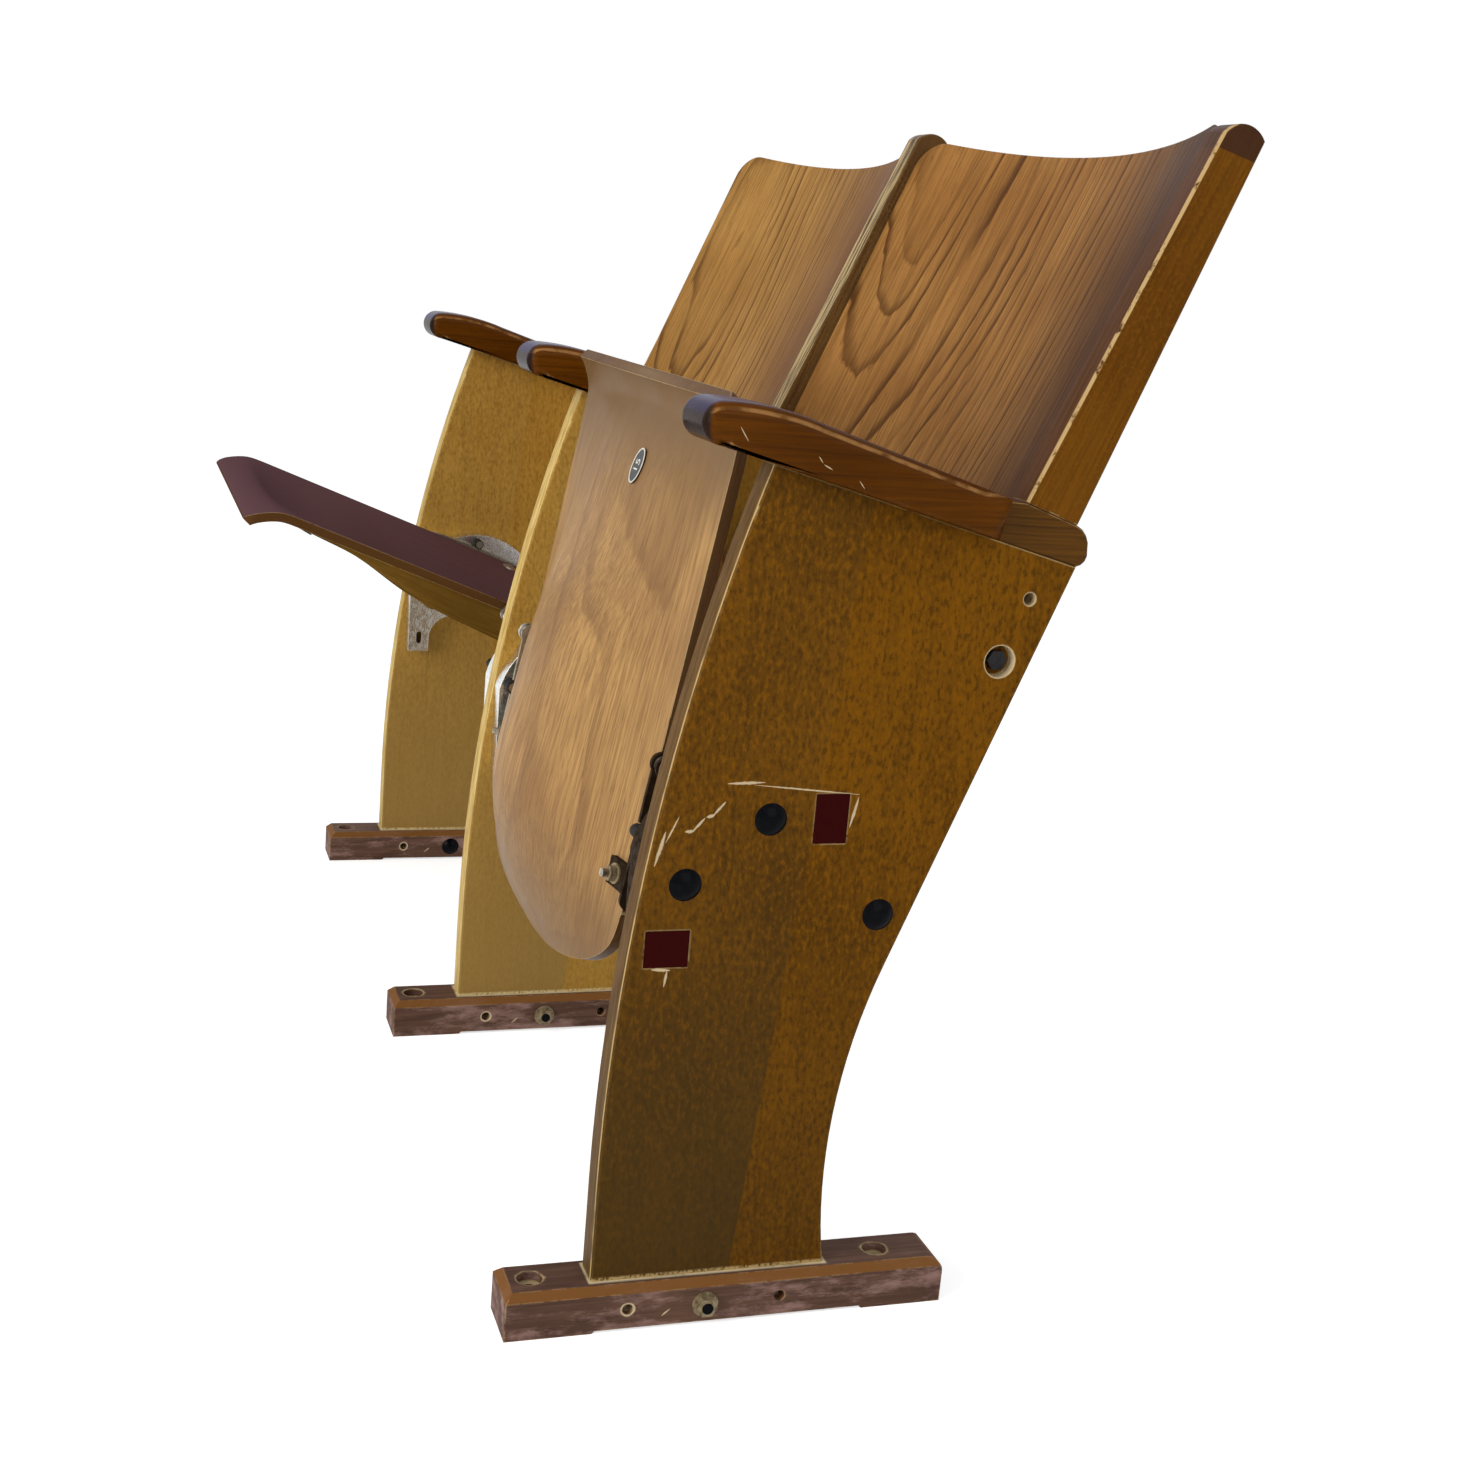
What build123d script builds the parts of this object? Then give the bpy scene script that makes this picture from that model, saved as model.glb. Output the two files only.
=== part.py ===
"""Two-place auditorium seat: three panelled standards on foot rails, armrests,
back posts, two curved plywood backs and two tip-up plywood seats.

Units are millimetres and +Z is up. X runs along the row, Y from front to back.
The design numbers below measure Y from the front end of the foot rails. The
finished pieces are moved so that the origin lies on the floor, midway between
the two floor-screw holes of the middle rail."""
from build123d import *
import math
import os

# ---------------------------------------------------------------- row and boards
PITCH = 525.0            # centre to centre of neighbouring standards
BOARD_T = 24.0           # thickness of the standards and back posts
ARRIS_R = 1.5            # rounding along the board edges

# ---------------------------------------------------------------- foot rail
RAIL_L, RAIL_W, RAIL_H = 326.0, 46.0, 34.0
RAIL_CHAMFER = 5.5
RAIL_HEEL_R = 10.0
RAIL_PAD_L, RAIL_RELIEF = 62.0, 2.0
FLOOR_HOLE_Y = (21.0, 280.0)
FLOOR_HOLE_R, FLOOR_HEAD_R, FLOOR_HEAD_DEPTH = 4.5, 9.25, 7.0
SIDE_HOLE_Y, SIDE_HOLE_Z, SIDE_HOLE_R = (87.0, 199.5), 16.5, 4.0
CROSS_BOLT_Y, CROSS_BOLT_Z, CROSS_BOLT_R = 143.5, 15.5, 4.0
TENON_T, TENON_L, TENON_DEPTH, TENON_FIT = 12.0, 70.0, 27.0, 0.1
ORIGIN_Y = sum(FLOOR_HOLE_Y) / 2

# ---------------------------------------------------------------- standard side view (Y, Z)
FOOT_FRONT_Y, FRONT_BEND_Z, FRONT_R = 61.5, 100.0, 1600.0
FOOT_REAR_Y, REAR_BEND_Z, REAR_R = 229.0, 105.0, 435.0
REAR_STRAIGHT_Z = 262.0
TOP_FRONT, TOP_REAR_Y = (144.5, 607.0), 368.4
TOP_SLOPE = -0.267

# ---------------------------------------------------------------- armrest (Y, Z)
ARM_W = 58.0
ARM_CORNER_R = 8.0
ARM_CROWN = (103.0, 646.3), (140.0, 643.2), (172.0, 634.8)
ARM_NOSE_Y, ARM_NOSE_Z, ARM_NOSE_UNDER_Y = 89.8, 633.0, 104.0
ARM_HEEL = (309.0, 593.0)
ARM_STEP_Y = 302.0
TAIL_TOP = (326.0, 590.0), (365.5, 576.0)
TAIL_END = (376.0, 559.0)
DOWEL_R, DOWEL_L, DOWEL_Y = 4.0, 44.0, (185.0, 262.0)

# ---------------------------------------------------------------- back post (Y, Z)
POST_TOP_FRONT, POST_TOP_REAR = (434.0, 833.0), (463.7, 825.4)
POST_TIP_RISE = 15.0
POST_EXTRA = {"far": -30.0, "mid": 12.0, "near": 0.0}
FAR_POST_BACK = 18.0     # the far post stands behind the edge of the panel
POST_BOLT_R, POST_BOLT_REACH, POST_BOLT_DEPTH = 5.0, 52.0, 46.0

# ---------------------------------------------------------------- back panel
PLY_BACK_T = 6.5
SIDE_GAP = 2.0           # open gap between a panel edge and the boards
PANEL_LOW, PANEL_HIGH = (348.0, 609.0), (450.0, 852.0)
PANEL_BOTTOM_Z = 398.0
PANEL_SAG = 44.0
PANEL_CORNER_R, PANEL_LOW_CORNER_R = 28.0, 14.0

# ---------------------------------------------------------------- back battens and fixings
BATTEN_W, BATTEN_BACK, BATTEN_Z = 24.0, 35.0, (425.0, 628.0)
BACK_BOLT = (319.0, 480.5)
BACK_BOLT_R, BACK_RECESS_R, BACK_RECESS_DEPTH = 4.0, 11.2, 9.0
SPARE_HOLE, SPARE_HOLE_R, SPARE_HOLE_DEPTH = (336.0, 524.3), 4.5, 18.0

# ---------------------------------------------------------------- tip-up seat shell
PIVOT = (102.0, 392.0)
SEAT_TRAVEL = 79.4       # degrees from lowered to stored
SEAT_SLOPE_DOWN = 20.4   # degrees, lowered seat falls to the rear
SEAT_W, SEAT_T = 419.0, 8.3
SEAT_EDGE_N = 8.3        # top of the side edge above the pivot axis
SEAT_REAR_A, SEAT_BEND_A = -196.0, 215.0
SEAT_D_START_A, SEAT_D_POWER, SEAT_D_ROUND = -93.0, 3.8, 0.86
SEAT_LIP_R, SEAT_LIP_ANGLE = 53.0, 51.0
SEAT_DISH = ((-230, -27.6), (-160, 23.8), (-90, 50.9), (-20, 49.8),
             (50, 42.6), (120, 24.6), (190, 16.0), (215, 9.5))
SEAT_DISH_POWER, SEAT_DISH_FADE = 1.65, 34.0
SEAT_CORNER_R, SEAT_TRIM = 10.0, 0.2

# ---------------------------------------------------------------- hinge housing, offsets D from the board
PAN_D, PAN_T = 21.0, 2.0
PAN_ROUND = (155.0, 320.0)
PAN_R, PAN_FRONT_Y, PAN_TAB_Z, PAN_TAB_REAR_Y = 77.0, 80.0, 259.0, 103.0
BOLTS = (163.5, 369.5), (107.0, 324.3), (248.8, 299.5)
LOBE_R = 18.0
PAN_SLOT = (92.0, 275.0)
PAN_SLOT_W, PAN_SLOT_L = 6.0, 14.0
BOLT_R, BOLT_HOLE_R = 4.0, 4.3
CAP_R, CAP_H = 11.5, 4.5
NUT_AF, NUT_H = 13.0, 5.0
BOSS_R, BOSS_H = 15.0, 3.0
LUG_T = 4.0
PIN_R, PIN_HEAD_R = 3.5, 6.0
PIN_FIT = 0.05           # radial running clearance of the pin in its bush
BUSH_R = 5.0
ARM_PLATE_D, ARM_PLATE_T = 33.0, 4.0
ARM_PLATE_LOW, ARM_PLATE_HIGH, ARM_PLATE_END_A = -6.0, 10.0, -108.0
EYE_R = 8.0
STOP_STUD_R, STOP_R = 2.5, 5.0
UP_STOP_A, UP_STOP_N = -50.0, -5.0
DOWN_STOP_A = -50.0
STOP_GAP = 0.05
FOOT_A, FOOT_T, FOOT_REACH = (-98.0, -78.0), 4.2, 25.0
SEAT_BOLT_A, SEAT_BOLT_IN = -88.0, 15.0
SEAT_BOLT_R, SEAT_HEAD_R, WASHER_R, SEAT_NUT_AF = 3.0, 8.0, 7.5, 10.0

# ---------------------------------------------------------------- small pieces
PLATE_X, PLATE_A, PLATE_RX, PLATE_RA, PLATE_T = -46.0, 184.0, 10.5, 14.0, 1.0
INLAYS = ((207.0, 369.5, 24.0, 35.0), (97.5, 279.0, 31.0, 26.0))
INLAY_DEPTH, INLAY_PROUD = 2.0, 0.3

SIDES = {"far": -PITCH, "mid": 0.0, "near": PITCH}
HALF = BOARD_T / 2
BACK_SLOPE = math.atan2(PANEL_HIGH[0] - PANEL_LOW[0], PANEL_HIGH[1] - PANEL_LOW[1])


# ================================================================ helpers
def outline(start, *steps):
    """Closed face in the XY plane: each step is a point, or (through, end) for an arc."""
    edges, here = [], start
    for step in steps:
        if isinstance(step[0], tuple):
            edges.append(ThreePointArc(here, step[0], step[1]))
            here = step[1]
        else:
            edges.append(Line(here, step))
            here = step
    if math.dist(here, start) > 1e-6:
        edges.append(Line(here, start))
    return make_face(Wire(edges))


def prism(face, x0, x1):
    """Solid from a face drawn in (Y, Z) between two X positions."""
    return extrude(Plane.YZ.offset(min(x0, x1)) * face, amount=abs(x1 - x0))


def rod(centre, radius, x0, x1):
    """Round bar along X."""
    return prism(Pos(*centre) * Circle(radius), x0, x1)


def hexagon(centre, across_flats, x0, x1):
    """Hexagonal bar along X."""
    face = Pos(*centre) * RegularPolygon(across_flats / 2, 6, major_radius=False)
    return prism(face, x0, x1)


def bar(p, q, radius):
    """Round bar between two points given as (x, y, z)."""
    length = math.dist(p, q)
    z_dir = tuple((b - a) / length for a, b in zip(p, q))
    return Plane(origin=p, z_dir=z_dir) * Cylinder(radius, length, align=(Align.CENTER, Align.CENTER, Align.MIN))


def top_line(y):
    """Height of the sloping top of a standard, continued under the armrest."""
    return TOP_FRONT[1] + TOP_SLOPE * (y - TOP_FRONT[0])


def soften(solid, faces_at, skip):
    """Round the edges lying in the planes X = faces_at, except where skip(centre) holds."""
    chosen = [e for e in solid.edges()
              if any(abs(e.bounding_box().min.X - x) < 1e-3 and abs(e.bounding_box().max.X - x) < 1e-3
                     for x in faces_at) and e.length > 30 and not skip(e.center())]
    return fillet(chosen, ARRIS_R)


# ================================================================ boards
def foot_rail(x):
    """Rail with chamfered arrises, pads below, floor, side and cross holes, mortise."""
    c, r = RAIL_CHAMFER, RAIL_RELIEF
    side = outline((0, 0), (RAIL_PAD_L, 0), (RAIL_PAD_L + r, r), (RAIL_L - RAIL_PAD_L - r, r),
                   (RAIL_L - RAIL_PAD_L, 0), (RAIL_L, 0), (RAIL_L, RAIL_H - RAIL_HEEL_R),
                   ((RAIL_L - RAIL_HEEL_R * (1 - math.sqrt(0.5)), RAIL_H - RAIL_HEEL_R * (1 - math.sqrt(0.5))),
                    (RAIL_L - RAIL_HEEL_R, RAIL_H)), (c, RAIL_H), (0, RAIL_H - c))
    w = RAIL_W / 2
    end = outline((-w, -1), (w, -1), (w, RAIL_H - c), (w - c, RAIL_H), (c - w, RAIL_H), (-w, RAIL_H - c))
    body = prism(side, x - w, x + w) & extrude(Plane.XZ * (Pos(x, 0) * end), amount=-RAIL_L)
    for y in FLOOR_HOLE_Y:
        body -= bar((x, y, -1), (x, y, RAIL_H + 1), FLOOR_HOLE_R)
        body -= bar((x, y, RAIL_H - FLOOR_HEAD_DEPTH), (x, y, RAIL_H + 1), FLOOR_HEAD_R)
    for y in SIDE_HOLE_Y:
        body -= rod((y, SIDE_HOLE_Z), SIDE_HOLE_R, x - w - 1, x + w + 1)
    body -= rod((CROSS_BOLT_Y, CROSS_BOLT_Z), CROSS_BOLT_R + 0.1, x - w - 1, x + w + 1)
    depth = TENON_DEPTH + 1
    body -= Pos(x, CROSS_BOLT_Y, RAIL_H - depth / 2) * Box(
        TENON_T + 2 * TENON_FIT, TENON_L + 2 * TENON_FIT, depth)
    return body


def standard_face():
    """Side view of a standard without its tenon."""
    front_c = (FOOT_FRONT_Y + FRONT_R, FRONT_BEND_Z)
    rear_c = FOOT_REAR_Y + REAR_R

    def front(z):
        return (front_c[0] - math.sqrt(FRONT_R ** 2 - (z - front_c[1]) ** 2), z)

    def rear(z):
        return (rear_c - math.sqrt(REAR_R ** 2 - (z - REAR_BEND_Z) ** 2), z)

    top = front(TOP_FRONT[1])
    return outline((FOOT_FRONT_Y, RAIL_H), (FOOT_FRONT_Y, FRONT_BEND_Z),
                   (front((FRONT_BEND_Z + top[1]) / 2), top), (TOP_REAR_Y, top_line(TOP_REAR_Y)),
                   rear(REAR_STRAIGHT_Z), (rear(REAR_BEND_Z), rear(RAIL_H)))


def dowel_line(y):
    """End points in (Y, Z) of a dowel square to the top of the standard."""
    n = math.hypot(1, TOP_SLOPE)
    dy, dz = -TOP_SLOPE / n * DOWEL_L / 2, DOWEL_L / 2 / n
    z = top_line(y)
    return (y - dy, z - dz), (y + dy, z + dz)


def dowel(x, y, extra=0.0):
    """Dowel through the joint of standard and armrest."""
    (y0, z0), (y1, z1) = dowel_line(y)
    return bar((x, y0, z0), (x, y1, z1), DOWEL_R + extra)


def post_ends(x):
    """Foot and top of a post, each as its front and rear corner in (Y, Z)."""
    back = FAR_POST_BACK if x < 0 else 0.0
    ends = []
    for (fy, fz), (ry, rz) in (TAIL_TOP, (POST_TOP_FRONT, POST_TOP_REAR)):
        ends.append(((fy + back, fz + (rz - fz) * back / (ry - fy)), (ry, rz)))
    return ends


def post_axis(x):
    """Foot centre of a post and its upward direction in (Y, Z)."""
    foot, top = (tuple((a + b) / 2 for a, b in zip(*end)) for end in post_ends(x))
    length = math.dist(foot, top)
    return foot, tuple((b - a) / length for a, b in zip(foot, top))


def post_bolt(x, extra=0.0):
    """Long stud from the standard through the tail of the armrest into the post."""
    (y, z), (uy, uz) = post_axis(x)
    up, down = POST_BOLT_REACH + extra, POST_BOLT_DEPTH + extra
    low = (x, y - uy * down, z - uz * down)
    return bar(low, (x, y + uy * up, z + uz * up), POST_BOLT_R + extra)


def standard(x, outer):
    """Shaped board with tenon and all its holes. outer is -1, 0 or +1."""
    body = prism(standard_face(), x - HALF, x + HALF)
    body = soften(body, (x - HALF, x + HALF),
                  lambda p: p.Z < RAIL_H + 1 or p.Z > top_line(p.Y) - 2)
    body += Pos(x, CROSS_BOLT_Y, RAIL_H - TENON_DEPTH / 2 + 1) * Box(TENON_T, TENON_L, TENON_DEPTH + 2)
    body -= rod((CROSS_BOLT_Y, CROSS_BOLT_Z), CROSS_BOLT_R + 0.1, x - HALF, x + HALF)
    for centre in BOLTS:
        body -= rod(centre, BOLT_HOLE_R, x - HALF - 1, x + HALF + 1)
    body -= rod(BACK_BOLT, BACK_BOLT_R + 0.1, x - HALF - 1, x + HALF + 1)
    for y in DOWEL_Y:
        body -= dowel(x, y, 0.05)
    body -= post_bolt(x, 0.05)
    if outer:
        face = x + outer * HALF
        body -= rod(BACK_BOLT, BACK_RECESS_R, face, face - outer * BACK_RECESS_DEPTH)
        body -= rod(SPARE_HOLE, SPARE_HOLE_R, face, face - outer * SPARE_HOLE_DEPTH)
    if outer > 0:
        body -= inlay_plugs(face, 0.05, 0.5)
    return body


def inlay_plugs(face, extra=0.0, over=0.0):
    """Two rectangular inlays let into the outer face of the near standard."""
    plugs = Part()
    for y, z, w, h in INLAYS:
        block = prism(Pos(y, z) * Rectangle(w + 2 * extra, h + 2 * extra),
                      face - INLAY_DEPTH, face + INLAY_PROUD + over)
        plugs += block
    return plugs


def armrest(x):
    """Wide arm with a blunt nose and a narrow tail under the back post."""
    crown0, crown1, crown2 = ARM_CROWN
    under = (ARM_NOSE_UNDER_Y, top_line(ARM_NOSE_UNDER_Y))
    wide = outline(under, (ARM_STEP_Y, top_line(ARM_STEP_Y)), ARM_HEEL, crown2, (crown1, crown0),
                   ((ARM_NOSE_Y, ARM_NOSE_Z), under))
    h, r = ARM_W / 2, ARM_CORNER_R
    k = r * (1 - math.sqrt(0.5))
    y0, y1 = ARM_NOSE_Y, ARM_HEEL[0] + 1
    plan = outline((x - h + r, y0), (x + h - r, y0), ((x + h - k, y0 + k), (x + h, y0 + r)),
                   (x + h, y1), (x - h, y1), (x - h, y0 + r), ((x - h + k, y0 + k), (x - h + r, y0)))
    body = prism(wide, x - h, x + h) & extrude(Pos(0, 0, 560) * plan, amount=100)
    tail = outline((ARM_STEP_Y - 12, top_line(ARM_STEP_Y - 12)), (TOP_REAR_Y, top_line(TOP_REAR_Y)),
                   (TAIL_END, TAIL_TOP[1]), TAIL_TOP[0], (ARM_HEEL[0] - 12, ARM_HEEL[1] - 1))
    body += prism(tail, x - HALF, x + HALF)
    for y in DOWEL_Y:
        body -= dowel(x, y, 0.05)
    body -= post_bolt(x, 0.05)
    return body


def back_post(x, extra):
    """Raked post standing on the tail of the armrest, with a rounded tip."""
    _, (uy, uz) = post_axis(x)
    foot, (front, rear) = post_ends(x)
    share = (rear[0] - front[0]) / (POST_TOP_REAR[0] - POST_TOP_FRONT[0])

    def raised(point, rise):
        return point[0] + uy * (extra + share * rise), point[1] + uz * (extra + share * rise)

    middle = ((front[0] + rear[0]) / 2, (front[1] + rear[1]) / 2)
    a, b = raised(front, POST_TIP_RISE - 7), raised(rear, POST_TIP_RISE - 3)
    tip = raised(middle, POST_TIP_RISE + 3)
    body = prism(outline(foot[0], a, (tip, b), foot[1]), x - HALF, x + HALF)
    body = soften(body, (x - HALF, x + HALF), lambda p: p.Z < TAIL_TOP[0][1] + 3)
    return body - post_bolt(x, 0.05)


# ================================================================ curved backs
def panel_plane(x):
    """Plane across a back panel at its lower edge: local Y points to the rear."""
    drop = PANEL_LOW[1] - PANEL_BOTTOM_Z
    origin = (x, PANEL_LOW[0] - drop * math.tan(BACK_SLOPE), PANEL_BOTTOM_Z)
    return Plane(origin=origin, x_dir=(1, 0, 0), z_dir=(0, math.sin(BACK_SLOPE), math.cos(BACK_SLOPE)))


def panel_size():
    """Half width, length up the slope and front radius of a back panel."""
    half = PITCH / 2 - HALF - SIDE_GAP
    length = (PANEL_HIGH[1] - PANEL_BOTTOM_Z) / math.cos(BACK_SLOPE)
    return half, length, (half ** 2 + PANEL_SAG ** 2) / (2 * PANEL_SAG)


def back_panel(x):
    """Plywood panel curved about the line of the back, with rounded corners."""
    half, length, radius = panel_size()
    centre_y = PANEL_SAG - radius
    ring = Pos(0, centre_y) * (Circle(radius + PLY_BACK_T) - Circle(radius))
    strip = ring & (Pos(0, PANEL_SAG / 2 - 4) * Rectangle(2 * half + 6, 2 * PANEL_SAG))
    shell = extrude(Pos(0, 0, -3) * strip, amount=length + 6)
    r, s = PANEL_CORNER_R, PANEL_LOW_CORNER_R
    k = 1 - math.sqrt(0.5)
    cut = outline((-half + s, 0), (half - s, 0), ((half - s * k, s * k), (half, s)), (half, length - r),
                  ((half - r * k, length - r * k), (half - r, length)), (r - half, length),
                  ((r * k - half, length - r * k), (-half, length - r)), (-half, s),
                  ((s * k - half, s * k), (s - half, 0)))
    window = extrude(Plane.XZ.offset(40) * cut, amount=-160)
    return panel_plane(x) * (shell & window)


def batten(x_face, inward, x_mid):
    """Batten on the inner face of a board, bevelled to the back of the panel."""
    half, _, radius = panel_size()
    plane = panel_plane(x_mid)
    z0 = (BATTEN_Z[0] - PANEL_BOTTOM_Z) / math.cos(BACK_SLOPE)
    z1 = (BATTEN_Z[1] - PANEL_BOTTOM_Z) / math.cos(BACK_SLOPE)
    edge = x_face - x_mid
    block = Pos(edge + inward * BATTEN_W / 2, BATTEN_BACK / 2, (z0 + z1) / 2) * Box(
        BATTEN_W, BATTEN_BACK, z1 - z0)
    core = Pos(0, PANEL_SAG - radius, (z0 + z1) / 2) * Cylinder(radius + PLY_BACK_T + 0.1, z1 - z0 + 2)
    body = plane * (block - core)
    return body - rod(BACK_BOLT, BACK_BOLT_R + 0.1, x_face - inward, x_face + inward * (BATTEN_W + 1))


# ================================================================ seat shell
def seat_frame(x, stored):
    """Seat plane at the pivot axis: local X along the row, local Y to the front edge."""
    angle = math.radians(SEAT_SLOPE_DOWN + (SEAT_TRAVEL if stored else 0.0))
    up = (0, math.sin(angle), math.cos(angle))
    return Plane(origin=(x, *PIVOT), x_dir=(-1, 0, 0), z_dir=up)


def dish(a):
    """Depth of the dish on the centre line, smooth through the stations."""
    pts = SEAT_DISH
    n = len(pts)
    h = [pts[i + 1][0] - pts[i][0] for i in range(n - 1)]
    d = [(pts[i + 1][1] - pts[i][1]) / h[i] for i in range(n - 1)]
    m = [d[0]] + [(d[i - 1] * h[i] + d[i] * h[i - 1]) / (h[i - 1] + h[i]) for i in range(1, n - 1)] + [d[-1]]
    a = min(max(a, pts[0][0]), pts[-1][0])
    i = max(k for k in range(n - 1) if pts[k][0] <= a)
    t = (a - pts[i][0]) / h[i]
    return ((2 * t ** 3 - 3 * t ** 2 + 1) * pts[i][1] + (t ** 3 - 2 * t ** 2 + t) * h[i] * m[i]
            + (3 * t ** 2 - 2 * t ** 3) * pts[i + 1][1] + (t ** 3 - t ** 2) * h[i] * m[i + 1])


def seat_top(a, x):
    """Height of the sitting surface over the seat plane, behind the front bend."""
    xi = min(abs(x) / (SEAT_W / 2), 1.0)
    return SEAT_EDGE_N - dish(a) * (1 - xi * xi) ** SEAT_DISH_POWER


def seat_under(a, x):
    """Height of the underside, a true ply thickness below the sitting surface."""
    e = 0.5
    da = (seat_top(a + e, x) - seat_top(a - e, x)) / (2 * e)
    dx = (seat_top(a, x + e) - seat_top(a, x - e)) / (2 * e)
    return seat_top(a, x) - SEAT_T * math.sqrt(1 + da * da + dx * dx)


def skin_point(s, x):
    """Point of the sitting surface at a distance along the side edge and across."""
    xi = min(abs(x) / (SEAT_W / 2), 1.0)
    bowl = (1 - xi * xi) ** SEAT_DISH_POWER
    if s <= SEAT_BEND_A:
        return Vector(x, s, SEAT_EDGE_N - dish(s) * bowl)
    t = (s - SEAT_BEND_A) / SEAT_LIP_R
    fade = dish(SEAT_BEND_A) * max(0.0, 1 - math.degrees(t) / SEAT_DISH_FADE) ** 2
    r = SEAT_LIP_R - fade * bowl
    return Vector(x, SEAT_BEND_A + r * math.sin(t), SEAT_EDGE_N - SEAT_LIP_R + r * math.cos(t))


def seat_blank():
    """Moulded plywood before its outline is cut, a little wider than the seat."""
    half, steps_s, steps_x = SEAT_W / 2 + 2.5, 28, 16
    low, lip = SEAT_REAR_A - 8, SEAT_BEND_A + SEAT_LIP_R * math.radians(SEAT_LIP_ANGLE)
    grid = [[skin_point(low + (lip - low) * i / steps_s, half * (2 * k / steps_x - 1))
             for k in range(steps_x + 1)] for i in range(steps_s + 1)]
    skin = Face.make_surface_from_array_of_points(grid, tol=0.05, min_deg=3, max_deg=3)
    return Solid.thicken(skin, SEAT_T)


def seat_plan():
    """Plan outline of the seat: straight sides, D-shaped rear, rounded front corners."""
    half, r = SEAT_W / 2, SEAT_CORNER_R
    span = SEAT_D_START_A - SEAT_REAR_A

    def edge(t):
        return half * (1 - t ** SEAT_D_POWER) ** SEAT_D_ROUND, SEAT_D_START_A - span * t

    ts = [math.sin(math.pi / 2 * k / 9) for k in range(10)]
    right = [edge(t) for t in ts]
    left = [(-x, a) for x, a in reversed(right[:-1])]
    curve = Spline(*(right + left), tangents=((0, -1), (0, 1)))
    tip = SEAT_BEND_A + SEAT_LIP_R * math.sin(math.radians(SEAT_LIP_ANGLE)) - SEAT_TRIM
    k = 1 - math.sqrt(0.5)
    edges = [Line((half, tip - r), (half, SEAT_D_START_A)), curve,
             Line((-half, SEAT_D_START_A), (-half, tip - r)),
             ThreePointArc((-half, tip - r), (-half + r * k, tip - r * k), (-half + r, tip)),
             Line((-half + r, tip), (half - r, tip)),
             ThreePointArc((half - r, tip), (half - r * k, tip - r * k), (half, tip - r))]
    return make_face(Wire(edges))


def seat_shell(raw):
    """Seat cut from the blank, in its own frame: X along the row, Y to the front, Z up."""
    body = raw & extrude(Pos(0, 0, -80) * seat_plan(), amount=160)
    for side in (-1, 1):
        body -= seat_bolt_axis(side) * Cylinder(SEAT_BOLT_R + 0.15, 40)
    return body


def seat_bolt_axis(side):
    """Location on the underside at a seat bolt, local Z square to the ply and upward."""
    x, a, e = side * (SEAT_W / 2 - SEAT_BOLT_IN), SEAT_BOLT_A, 0.5
    da = (seat_top(a + e, x) - seat_top(a - e, x)) / (2 * e)
    dx = (seat_top(a, x + e) - seat_top(a, x - e)) / (2 * e)
    return Plane(origin=(x, a, seat_under(a, x)), z_dir=(-dx, -da, 1))


def seat_bolts():
    """Domed seat bolts through ply and arm foot."""
    out = Part()
    for side in (-1, 1):
        at = seat_bolt_axis(side)
        shank = Pos(0, 0, SEAT_T / 2 - 8) * Cylinder(SEAT_BOLT_R, SEAT_T + 16)
        head = Pos(0, 0, SEAT_T) * dome(SEAT_HEAD_R, 2.6)
        out += at * (shank + head)
    return out


def dome(radius, height):
    """Low domed cap standing on the XY plane."""
    ball = (radius ** 2 + height ** 2) / (2 * height)
    return Pos(0, 0, height - ball) * Sphere(ball) & Pos(0, 0, height / 2) * Cylinder(radius + 1, height)


def seat_nuts():
    """Washers with hexagon nuts under the arm feet."""
    out = Part()
    for side in (-1, 1):
        at = seat_bolt_axis(side)
        low = -FOOT_T - 0.1
        washer = Pos(0, 0, low - 0.8) * (Cylinder(WASHER_R, 1.4) - Cylinder(SEAT_BOLT_R + 0.05, 3))
        nut = RegularPolygon(SEAT_NUT_AF / 2, 6, major_radius=False) - Circle(SEAT_BOLT_R + 0.02)
        out += at * (washer + Pos(0, 0, low - 1.5 - 5) * extrude(nut, amount=5))
    return out


def number_plate():
    """Oval number plate under the front of the seat."""
    x, a, e = PLATE_X, PLATE_A, 0.5
    da = (seat_under(a + e, x) - seat_under(a - e, x)) / (2 * e)
    dx = (seat_under(a, x + e) - seat_under(a, x - e)) / (2 * e)
    at = Plane(origin=(x, a, seat_under(a, x) - 0.12), x_dir=(1, 0, dx), z_dir=(-dx, -da, 1))
    return at * extrude(Ellipse(PLATE_RX, PLATE_RA), amount=-PLATE_T)


# ================================================================ hinge iron work
def pan_outline(grow=0.0):
    """Outline of the pressed housing in (Y, Z), grown outward by a distance."""
    cy, cz = PAN_ROUND
    r, front = PAN_R + grow, PAN_FRONT_Y - grow
    low, tab = PAN_TAB_Z - grow, PAN_TAB_REAR_Y + grow
    by, bz = BOLTS[2]
    lr = LOBE_R + grow

    def on(c, rad, deg):
        return (c[0] + rad * math.cos(math.radians(deg)), c[1] + rad * math.sin(math.radians(deg)))

    start = (front, cz + math.sqrt(r ** 2 - (cy - front) ** 2))
    return outline(start, (on((cy, cz), r, 90), on((cy, cz), r, 28)), on((by, bz), lr, 35),
                   (on((by, bz), lr, -30), on((by, bz), lr, -97)), (150, 301 - grow),
                   (128, 301 - grow),
                   ((112 + 0.7 * grow, 294 - 0.7 * grow), (tab + 1, 279 - grow)), (tab, low), (front, low))


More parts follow.
